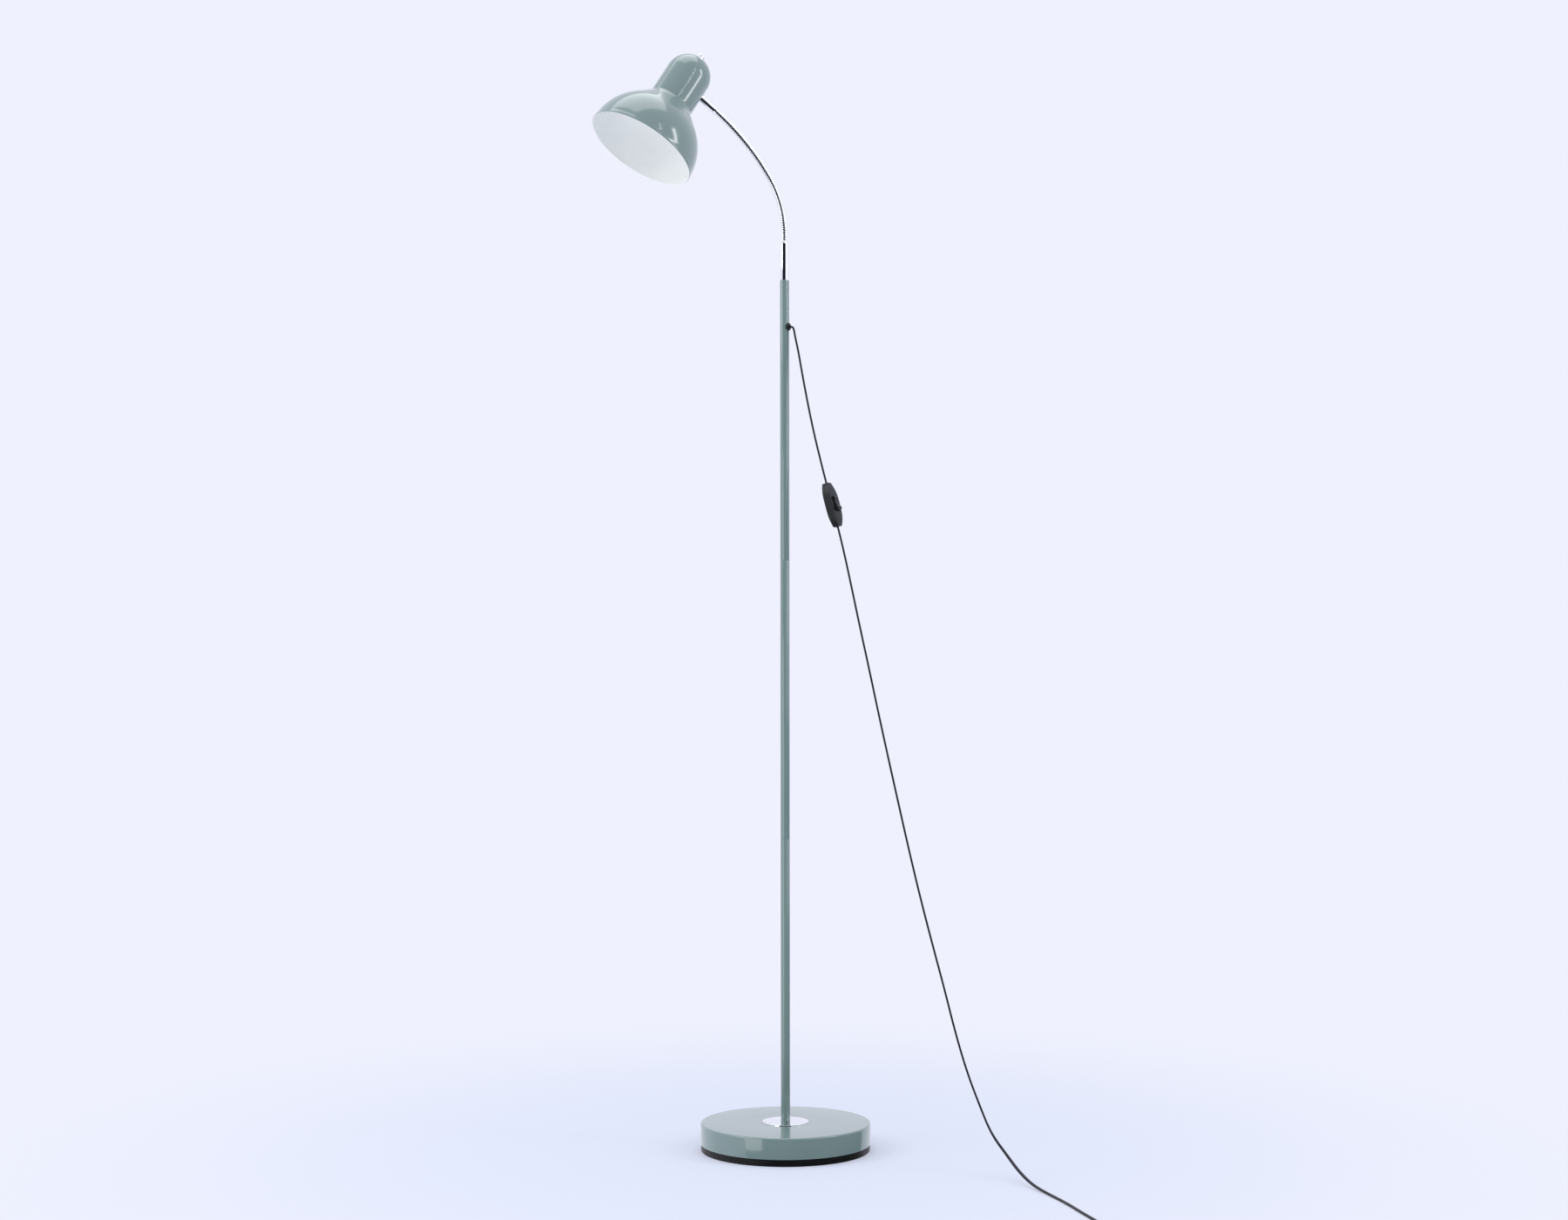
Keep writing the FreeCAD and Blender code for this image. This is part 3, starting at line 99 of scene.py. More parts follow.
# ---------------------------------------------------------------- finishes
class ShaderBench:
    """A material in the making: its Principled shader and the textures that feed it."""

    def __init__(self, name: str) -> None:
        """Start an empty material.

        Args:
            name: The material's name.
        """
        self.material = bpy.data.materials.new(name)
        self.material.use_nodes = True
        self.nodes = self.material.node_tree.nodes
        self.links = self.material.node_tree.links
        self.shader = self.nodes["Principled BSDF"]
        self.place = self.nodes.new("ShaderNodeTexCoord").outputs["Object"]

    def fix(self, socket: str, value: float | Colour) -> None:
        """Set a value that is the same all over on the shader itself.

        Args:
            socket: The shader's input.
            value: A number or a linear colour.
        """
        plain = isinstance(value, (int, float))
        self.shader.inputs[socket].default_value = value if plain else (*value, 1.0)

    def noise(self, size: float, detail: float = 2.0,
              stretch: Colour = (1.0, 1.0, 1.0)) -> bpy.types.NodeSocket:
        """Cloudy pattern in the lamp's own coordinates.

        Args:
            size: Width of its clouds in metres.
            detail: How many finer layers it has.
            stretch: Scale along each axis before the pattern is read.

        Returns:
            The pattern's value, about 0 to 1.
        """
        spread = self.nodes.new("ShaderNodeMapping")
        spread.inputs["Scale"].default_value = stretch
        self.links.new(self.place, spread.inputs["Vector"])
        texture = self.nodes.new("ShaderNodeTexNoise")
        texture.inputs["Scale"].default_value = 1.0 / size
        texture.inputs["Detail"].default_value = detail
        self.links.new(spread.outputs["Vector"], texture.inputs["Vector"])
        return texture.outputs["Fac"]

    def spread(self, pattern: bpy.types.NodeSocket, socket: str, low: float, high: float) -> None:
        """Drive a number of the shader by a pattern.

        Args:
            pattern: The pattern's value.
            socket: The shader's input.
            low: Value where the pattern is weak.
            high: Value where it is strong.
        """
        shift = self.nodes.new("ShaderNodeMapRange")
        shift.inputs["From Min"].default_value = 0.3
        shift.inputs["From Max"].default_value = 0.7
        shift.inputs["To Min"].default_value = low
        shift.inputs["To Max"].default_value = high
        self.links.new(pattern, shift.inputs["Value"])
        self.links.new(shift.outputs["Result"], self.shader.inputs[socket])

    def tint(self, pattern: bpy.types.NodeSocket, weak: Colour, strong: Colour) -> None:
        """Colour the surface between two tones by a pattern.

        Args:
            pattern: The pattern's value.
            weak: Linear colour where the pattern is weak.
            strong: Linear colour where it is strong.
        """
        ramp = self.nodes.new("ShaderNodeValToRGB")
        ramp.color_ramp.elements[0].position = 0.3
        ramp.color_ramp.elements[1].position = 0.7
        ramp.color_ramp.elements[0].color = (*weak, 1.0)
        ramp.color_ramp.elements[1].color = (*strong, 1.0)
        self.links.new(pattern, ramp.inputs["Fac"])
        self.links.new(ramp.outputs["Color"], self.shader.inputs["Base Color"])

    def relief(self, pattern: bpy.types.NodeSocket, depth: float, strength: float = 1.0) -> None:
        """Give the surface a fine relief.

        Args:
            pattern: The pattern's value.
            depth: Height of the relief in metres.
            strength: Share of it that shows.
        """
        bump = self.nodes.new("ShaderNodeBump")
        bump.inputs["Distance"].default_value = depth
        bump.inputs["Strength"].default_value = strength
        self.links.new(pattern, bump.inputs["Height"])
        self.links.new(bump.outputs["Normal"], self.shader.inputs["Normal"])


@dataclass(frozen=True)
class GlossPaint:
    """Sprayed and baked gloss paint with a faint orange peel."""

    name: str
    tone: Colour
    shadow_tone: Colour
    roughness: tuple[float, float] = (0.16, 0.22)
    cloud: float = 60.0 * MM
    peel: float = 2.2 * MM
    peel_depth: float = 0.0012 * MM
    coat: float = 0.55

    def build(self) -> bpy.types.Material:
        """Make the material."""
        bench = ShaderBench(self.name)
        cloud = bench.noise(self.cloud)
        bench.tint(cloud, self.shadow_tone, self.tone)
        bench.spread(cloud, "Roughness", *self.roughness)
        bench.relief(bench.noise(self.peel), self.peel_depth)
        bench.fix("Coat Weight", self.coat)
        bench.fix("Coat Roughness", 0.05)
        return bench.material


@dataclass(frozen=True)
class PlatedMetal:
    """Metal surface, from bright chrome to plain zinc, with faint wipe marks."""

    name: str
    tone: Colour
    dull_tone: Colour
    roughness: tuple[float, float] = (0.02, 0.04)
    cloud: float = 14.0 * MM
    stretch: Colour = (1.0, 1.0, 0.35)
    grain_depth: float = 0.0006 * MM

    def build(self) -> bpy.types.Material:
        """Make the material."""
        bench = ShaderBench(self.name)
        cloud = bench.noise(self.cloud, stretch=self.stretch)
        bench.tint(cloud, self.dull_tone, self.tone)
        bench.spread(cloud, "Roughness", *self.roughness)
        bench.relief(bench.noise(0.8 * MM), self.grain_depth)
        bench.fix("Metallic", 1.0)
        return bench.material


@dataclass(frozen=True)
class Moulding:
    """Moulded plastic or sheathing with a fine spark-eroded grain."""

    name: str
    tone: Colour
    worn_tone: Colour
    roughness: tuple[float, float] = (0.34, 0.46)
    cloud: float = 9.0 * MM
    grain: float = 0.35 * MM
    grain_depth: float = 0.006 * MM
    sheen: float = 0.0
    gloss: float = 0.5

    def build(self) -> bpy.types.Material:
        """Make the material."""
        bench = ShaderBench(self.name)
        cloud = bench.noise(self.cloud)
        bench.tint(cloud, self.tone, self.worn_tone)
        bench.spread(cloud, "Roughness", *self.roughness)
        bench.relief(bench.noise(self.grain), self.grain_depth)
        bench.fix("Sheen Weight", self.sheen)
        bench.fix("Specular IOR Level", self.gloss)
        return bench.material


class FinishSet:
    """All finishes of the lamp, each made once."""

    def __init__(self) -> None:
        """Make the materials and say which slot of the record wears which."""
        self.sage = GlossPaint("sage_gloss_paint", (0.170, 0.243, 0.238), (0.161, 0.231, 0.227)).build()
        self.white = GlossPaint("white_inner_paint", (0.86, 0.88, 0.86), (0.83, 0.85, 0.835),
                                roughness=(0.42, 0.52), coat=0.0).build()
        self.chrome = PlatedMetal("polished_chrome", (0.90, 0.91, 0.93), (0.86, 0.87, 0.90)).build()
        self.zinc = PlatedMetal("zinc_plate", (0.60, 0.60, 0.58), (0.48, 0.48, 0.47), roughness=(0.28, 0.42),
                                cloud=4.0 * MM).build()
        self.brass = PlatedMetal("plain_brass", (0.78, 0.60, 0.30), (0.66, 0.50, 0.25),
                                 roughness=(0.16, 0.26),
                                 cloud=5.0 * MM).build()
        self.iron = Moulding("cast_iron", (0.055, 0.055, 0.058), (0.10, 0.095, 0.09), roughness=(0.6, 0.8),
                             grain=1.6 * MM, grain_depth=0.12 * MM).build()
        self.black = Moulding("black_moulding", (0.006, 0.007, 0.009), (0.010, 0.011, 0.013),
                              gloss=0.28).build()
        self.rubber = Moulding("black_skirt", (0.004, 0.005, 0.005), (0.007, 0.008, 0.008),
                               roughness=(0.38, 0.5), grain=0.8 * MM, gloss=0.22).build()
        self.sheath = Moulding("cord_sheath", (0.006, 0.007, 0.010), (0.011, 0.012, 0.016),
                               roughness=(0.40, 0.52), cloud=30.0 * MM, gloss=0.28).build()
        self.holder = Moulding("holder_moulding", (0.78, 0.77, 0.72), (0.70, 0.69, 0.64),
                               roughness=(0.25, 0.35)).build()
        self.by_slot = {
            Slot.SAGE_PAINT: self.sage, Slot.SHADE_PAINT: self.sage, Slot.CHROME: self.chrome,
            Slot.BLACK_MOULDING: self.black, Slot.BLACK_CORD: self.sheath, Slot.IRON: self.iron,
            Slot.ZINC_STEEL: self.zinc, Slot.BRASS: self.brass, Slot.HOLDER_MOULDING: self.holder,
        }


# ---------------------------------------------------------------- mesh tools
@dataclass
class Outline:
    """Section of a turned piece, walked round point by point as (radius, height)."""

    points: list[tuple[float, float]] = field(default_factory=list)
    bands: list[int] = field(default_factory=list)

    def to(self, radius: float, height: float, band: int = 0) -> "Outline":
        """Go straight to a point; band is the finish of the face that leads there."""
        self.points.append((radius, height))
        self.bands.append(band)
        return self

    def arc(self, radius: float, height: float, bend: float, start: float, end: float, steps: int,
            band: int = 0) -> "Outline":
        """Follow an arc.

        Args:
            radius: Radius at which the arc's centre lies.
            height: Height of the arc's centre.
            bend: The arc's own radius.
            start: Degrees at which it starts; 0 points outwards, 90 up.
            end: Degrees at which it ends.
            steps: How many straight pieces it gets.
            band: Finish of its faces.

        Returns:
            The outline itself.
        """
        for step in range(steps + 1):
            angle = math.radians(start + (end - start) * step / steps)
            self.to(max(0.0, radius + bend * math.cos(angle)), height + bend * math.sin(angle), band)
        return self


def finish_mesh(name: str, shape: bmesh.types.BMesh, finishes: Sequence[bpy.types.Material],
                crease: float = 32.0) -> bpy.types.Object:
    """Turn a bmesh into a piece with smooth faces and sharp creases.

    Args:
        name: The piece's name.
        shape: Its mesh, which is used up.
        finishes: Its materials, by face index.
        crease: Degrees from which an edge stays sharp.

    Returns:
        The new object.
    """
    bmesh.ops.remove_doubles(shape, verts=shape.verts, dist=1e-7)
    bmesh.ops.recalc_face_normals(shape, faces=shape.faces)
    for face in shape.faces:
        face.smooth = True
    for edge in shape.edges:
        edge.smooth = len(edge.link_faces) == 2 and edge.calc_face_angle() < math.radians(crease)
    mesh = bpy.data.meshes.new(name)
    shape.to_mesh(mesh)
    shape.free()
    for finish in finishes:
        mesh.materials.append(finish)
    piece = bpy.data.objects.new(name, mesh)
    bpy.context.scene.collection.objects.link(piece)
    return piece


def skin(shape: bmesh.types.BMesh, rings: Sequence[Sequence[bmesh.types.BMVert]], band: int = 0,
         closed: bool = True) -> None:
    """Join rings of points by faces; a ring of one point closes to it.

    Args:
        shape: The mesh.
        rings: The rings in order.
        band: Material index of the faces.
        closed: Whether each ring runs round to its own start.
    """
    for lower, upper in zip(rings, rings[1:]):
        sides = max(len(lower), len(upper))
        for side in range(sides if closed else sides - 1):
            corners = []
            for ring, place in ((lower, side), (lower, side + 1), (upper, side + 1), (upper, side)):
                corner = ring[place % len(ring)]
                if corner not in corners:
                    corners.append(corner)
            if len(corners) > 2:
                shape.faces.new(corners).material_index = band


def turned(name: str, outline: Outline, sides: int, finishes: Sequence[bpy.types.Material],
           place: Matrix = Matrix.Identity(4), crease: float = 32.0) -> bpy.types.Object:
    """Piece of revolution about the local Z axis, closed on itself.

    Args:
        name: The piece's name.
        outline: Its section, a closed loop.
        sides: How many facets it has round the axis.
        finishes: Its materials, by the outline's bands.
        place: Local to lamp coordinates.
        crease: Degrees from which an edge stays sharp.

    Returns:
        The new object.
    """
    shape = bmesh.new()
    rings = []
    for radius, height in outline.points:
        count = 1 if radius < 1e-6 else sides
        angles = [2.0 * math.pi * side / sides for side in range(count)]
        rings.append([shape.verts.new(place @ Vector((radius * math.cos(a), radius * math.sin(a), height)))
                      for a in angles])
    rings.append(rings[0])
    for index, band in enumerate(outline.bands[1:] + outline.bands[:1]):
        pair = rings[index:index + 2]
        if len(pair[0]) + len(pair[1]) > 2:
            skin(shape, pair, band)
    return finish_mesh(name, shape, finishes, crease)


def softened(node: str, finishes: Sequence[bpy.types.Material], radius: float, name: str,
             crease: float = 28.0) -> bpy.types.Object:
    """Piece with the form of a solid of the frame, its hard edges rounded.

    Args:
        node: The solid that it stands for.
        finishes: Its materials.
        radius: Radius of the rounding.
        name: The piece's name.
        crease: Degrees from which an edge counts as hard.

    Returns:
        The new object, which replaces the node.
    """
    shape = bmesh.new()
    shape.from_mesh(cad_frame()["nodes"][node].data)
    bmesh.ops.remove_doubles(shape, verts=shape.verts, dist=2e-6)
    bmesh.ops.dissolve_limit(shape, angle_limit=math.radians(0.6), verts=shape.verts, edges=shape.edges)
    hard = [edge for edge in shape.edges
            if len(edge.link_faces) == 2 and edge.calc_face_angle() > math.radians(crease)]
    bmesh.ops.bevel(shape, geom=hard, offset=radius, offset_type="OFFSET", segments=3, profile=0.6,
                    affect="EDGES", clamp_overlap=True)
    for face in shape.faces:
        face.material_index = 0
    piece = finish_mesh(name, shape, finishes, 40.0)
    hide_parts(node)
    return piece


_FRAME: dict = {}


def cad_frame() -> dict:
    """The frame, loaded once."""
    if not _FRAME:
        _FRAME.update(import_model())
    return _FRAME


def settle(piece: bpy.types.Object, body: str, slot: Slot, *nodes: str) -> bpy.types.Object:
    """Let a piece ride on its body and hide the solids that it stands for.

    Args:
        piece: The piece.
        body: The body that carries it.
        slot: The record's slot; not used.
        nodes: Solids that it replaces.

    Returns:
        The piece.
    """
    if nodes:
        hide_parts(*nodes)
    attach(piece, body)
    LOG.info("%s rides on %s", piece.name, body)
    return piece


# ---------------------------------------------------------------- base
@dataclass
class WeightedBase:
    """Pressed cover over an iron weight, with a black tray below and a chrome disc on top."""

    cover_radius: float = 110.0 * MM
    cover_edge: float = 2.2 * MM
    cover_wall: float = 1.0 * MM
    cover_hem: float = 0.5 * MM
    stud_hole: float = 4.1 * MM
    skirt_inset: float = 0.8 * MM
    skirt_edge: float = 1.2 * MM
    disc_radius: float = 30.0 * MM
    disc_edge: float = 0.25 * MM
    facets: int = 192

    def build(self, finishes: FinishSet) -> None:
        """Make the base's pieces.

        Args:
            finishes: The lamp's finishes.
        """
        low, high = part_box("base_cover")
        self.make_cover(finishes, low.z, high.z)
        self.make_skirt(finishes, low.z)
        self.make_disc(finishes, high.z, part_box("base_disc")[1].z)

    def make_cover(self, finishes: FinishSet, foot: float, top: float) -> None:
        """Make the painted cover.

        Args:
            finishes: The lamp's finishes.
            foot: Height of its lower edge.
            top: Height of its top face.
        """
        rim, hem, wall = self.cover_radius - self.cover_edge, self.cover_hem, self.cover_wall
        outline = Outline().to(self.stud_hole, top).to(0.5 * rim, top)
        outline.arc(rim, top - self.cover_edge, self.cover_edge, 90, 0, 12)
        outline.arc(self.cover_radius - hem, foot + hem, hem, 0, -180, 8)
        outline.to(self.cover_radius - wall, top - self.cover_edge).to(rim, top - wall)
        outline.to(self.stud_hole, top - wall)
        cover = turned("base_cover_paint", outline, self.facets, [finishes.sage])
        settle(cover, "root", Slot.SAGE_PAINT, "base_cover")

    def make_skirt(self, finishes: FinishSet, foot: float) -> None:
        """Make the black tray whose skirt shows below the cover.

        Args:
            finishes: The lamp's finishes.
            foot: Height of the cover's lower edge.
        """
        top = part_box("base_tray")[1].z
        outer = self.cover_radius - self.skirt_inset
        spigot = self.cover_radius - self.cover_wall - 0.1 * MM
        edge, wall = self.skirt_edge, 2.5 * MM
        outline = Outline().to(0, 0).to(0.93 * outer, 0).to(0.935 * outer, 0.4 * MM)
        outline.to(0.955 * outer, 0.4 * MM)
        outline.to(0.96 * outer, 0).arc(outer - edge, edge, edge, -90, 0, 6)
        outline.to(outer, foot - 0.3 * MM).to(outer - 0.3 * MM, foot - 0.05 * MM).to(spigot, foot - 0.05 * MM)
        outline.to(spigot, top).to(spigot - wall, top).to(spigot - wall, 2.0 * MM).to(0, 2.0 * MM)
        tray = turned("base_tray_moulding", outline, self.facets, [finishes.rubber])
        settle(tray, "root", Slot.BLACK_MOULDING, "base_tray")

    def make_disc(self, finishes: FinishSet, foot: float, top: float) -> None:
        """Make the chrome disc round the foot of the pole.

        Args:
            finishes: The lamp's finishes.
            foot: Height of its underside.
            top: Height of its top face.
        """
        edge = self.disc_edge
        outline = Outline().to(self.stud_hole, foot).to(self.disc_radius, foot)
        outline.arc(self.disc_radius - edge, top - edge, edge, 0, 90, 5).to(self.stud_hole, top)
        disc = turned("base_disc_chrome", outline, 96, [finishes.chrome])
        settle(disc, "root", Slot.CHROME, "base_disc")


# ---------------------------------------------------------------- pole
@dataclass
class Pole:
    """Three painted tubes, end to end, with a chrome sleeve in the top one."""

    radius: float = 6.0 * MM
    wall: float = 1.0 * MM
    edge: float = 0.35 * MM
    sleeve_radius: float = 5.5 * MM
    sleeve_taper: float = 4.0 * MM
    sleeve_mouth: float = 4.5 * MM
    sleeve_bore: float = 3.25 * MM
    facets: int = 64

    def build(self, finishes: FinishSet) -> None:
        """Make the tubes and the sleeve.

        Args:
            finishes: The lamp's finishes.
        """
        for node in ("pole_lower", "pole_middle", "pole_upper"):
            low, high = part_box(node)
            inner = self.radius - self.wall
            outline = Outline().to(inner, low.z)
            outline.arc(self.radius - self.edge, low.z + self.edge, self.edge, -90, 0, 3)
            outline.arc(self.radius - self.edge, high.z - self.edge, self.edge, 0, 90, 3).to(inner, high.z)
            tube = turned(node + "_paint", outline, self.facets, [finishes.sage], crease=50.0)
            settle(tube, "root", Slot.SAGE_PAINT, node)
        self.make_sleeve(finishes)

    def make_sleeve(self, finishes: FinishSet) -> None:
        """Make the chrome sleeve that the flexible neck stands in.

        Args:
            finishes: The lamp's finishes.
        """
        low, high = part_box("neck_sleeve")
        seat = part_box("pole_upper")[1].z
        shoulder = high.z - self.sleeve_taper
        lip = 0.25 * MM
        outline = Outline().to(self.sleeve_bore, low.z).to(self.radius - self.wall - 0.05 * MM, low.z)
        outline.to(self.radius - self.wall - 0.05 * MM, seat).to(self.sleeve_radius - lip, seat)
        outline.to(self.sleeve_radius, seat + lip).to(self.sleeve_radius, shoulder - 0.8 * MM)
        outline.to(self.sleeve_radius - 0.06 * MM, shoulder)
        outline.to(self.sleeve_radius - 0.3 * MM, shoulder + 1.2 * MM)
        outline.to(self.sleeve_mouth + 0.15 * MM, high.z - 0.3 * MM).to(self.sleeve_mouth, high.z)
        outline.to(self.sleeve_bore, high.z)
        sleeve = turned("neck_sleeve_chrome", outline, self.facets, [finishes.chrome])
        settle(sleeve, "root", Slot.CHROME, "neck_sleeve")


# ---------------------------------------------------------------- flexible neck
@dataclass
class NeckLine:
    """Centreline of the flexible neck: a short upright run and two arcs."""

    foot: float
    straight: float = 6.0 * MM
    bend_1: float = 131.0 * MM
    turn_1: float = math.radians(35.5)
    bend_2: float = 311.0 * MM
    turn_2: float = math.radians(19.8)

    @property
    def length(self) -> float:
        """Length of the centreline."""
        return self.straight + self.bend_1 * self.turn_1 + self.bend_2 * self.turn_2

    def at(self, distance: float) -> Matrix:
        """Frame on the centreline.

        Args:
            distance: Length along it from the top of the sleeve.

        Returns:
            Matrix whose Z axis runs along the neck and whose Y axis is level.
        """
        first = self.bend_1 * self.turn_1
        x, z, lean = 0.0, self.foot + min(distance, self.straight), 0.0
        if distance > self.straight:
            lean = min(distance - self.straight, first) / self.bend_1
            x -= self.bend_1 * (1.0 - math.cos(lean))
            z += self.bend_1 * math.sin(lean)
        if distance > self.straight + first:
            knee = lean
            past = min(distance, self.length) - self.straight - first
            lean = knee + past / self.bend_2
            x -= self.bend_2 * (math.cos(knee) - math.cos(lean))
            z += self.bend_2 * (math.sin(lean) - math.sin(knee))
        beyond = max(0.0, distance - self.length)
        along = Vector((-math.sin(lean), 0.0, math.cos(lean)))
        across = Vector((math.cos(lean), 0.0, math.sin(lean)))
        spot = Vector((x, 0.0, z)) + along * beyond
        matrix = Matrix((across, Vector((0.0, 1.0, 0.0)), along)).transposed().to_4x4()
        matrix.translation = spot
        return matrix


@dataclass
class Gooseneck:
    """Chromed strip wound into a ribbed hose; each length lies across one joint of the frame."""

    line: NeckLine
    crest: float = 4.15 * MM
    root: float = 3.62 * MM
    bore: float = 2.4 * MM
    stretches: int = 8
    turns_per_stretch: int = 8
    steps_per_turn: int = 32
    crown: tuple[tuple[float, float], ...] = (
        (0.0, 0.0), (0.06, 0.70), (0.14, 0.94), (0.28, 1.0),
        (0.72, 1.0), (0.86, 0.94), (0.94, 0.70), (1.0, 0.0))
    bend_reach: float = 9.0 * MM
    sunk_turns: int = 1
    inside_ferrule: float = 9.0 * MM

    def build(self, finishes: FinishSet) -> None:
        """Make the hose, one length for each joint and one for its foot.

        Args:
            finishes: The lamp's finishes.
        """
        half = self.turns_per_stretch // 2
        pitch = self.line.length / (self.stretches * self.turns_per_stretch)
        foot = self.wound("neck_strip_foot", -self.sunk_turns, half, pitch, finishes.chrome)
        settle(foot, "neck_1", Slot.CHROME, "neck_stretch_1")
        for joint in range(1, self.stretches + 1):
            first = self.turns_per_stretch * joint - half
            last = first + self.turns_per_stretch
            if joint == self.stretches:
                last = first + half + round(self.inside_ferrule / pitch)
            strip = self.wound("neck_strip_%d" % joint, first, last, pitch, finishes.chrome)
            if joint == self.stretches:
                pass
            else:
                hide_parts("neck_stretch_%d" % (joint + 1))
            middle = self.line.length * joint / self.stretches
            self.line.at(middle - self.bend_reach).translation
            self.line.at(middle + self.bend_reach).translation
            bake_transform(strip)

    def wound(self, name: str, first: int, last: int, pitch: float,
              finish: bpy.types.Material) -> bpy.types.Object:
        """Length of strip wound round the centreline.

        Args:
            name: The piece's name.
            first: Turn at which it starts, counted from the top of the sleeve.
            last: Turn at which it ends.
            pitch: Length of hose per turn.
            finish: Its material.

        Returns:
            The new object.
        """
        shape = bmesh.new()
        section = []
        for share, rise in self.crown:
            section.append((share, self.root + (self.crest - self.root) * rise))
        section += [(1.0, self.bore), (0.0, self.bore)]
        rings = []
        for step in range((last - first) * self.steps_per_turn + 1):
            turn = first + step / self.steps_per_turn
            angle = 2.0 * math.pi * turn
            ring = []
            for share, radius in section:
                at = self.line.at((turn + share - 0.5) * pitch)
                rim_point = Vector((radius * math.cos(angle), radius * math.sin(angle), 0.0))
                ring.append(shape.verts.new(at @ rim_point))
            rings.append(ring)
        skin(shape, rings)
        shape.faces.new(rings[0])
        shape.faces.new(rings[-1])
        return finish_mesh(name, shape, [finish], crease=60.0)


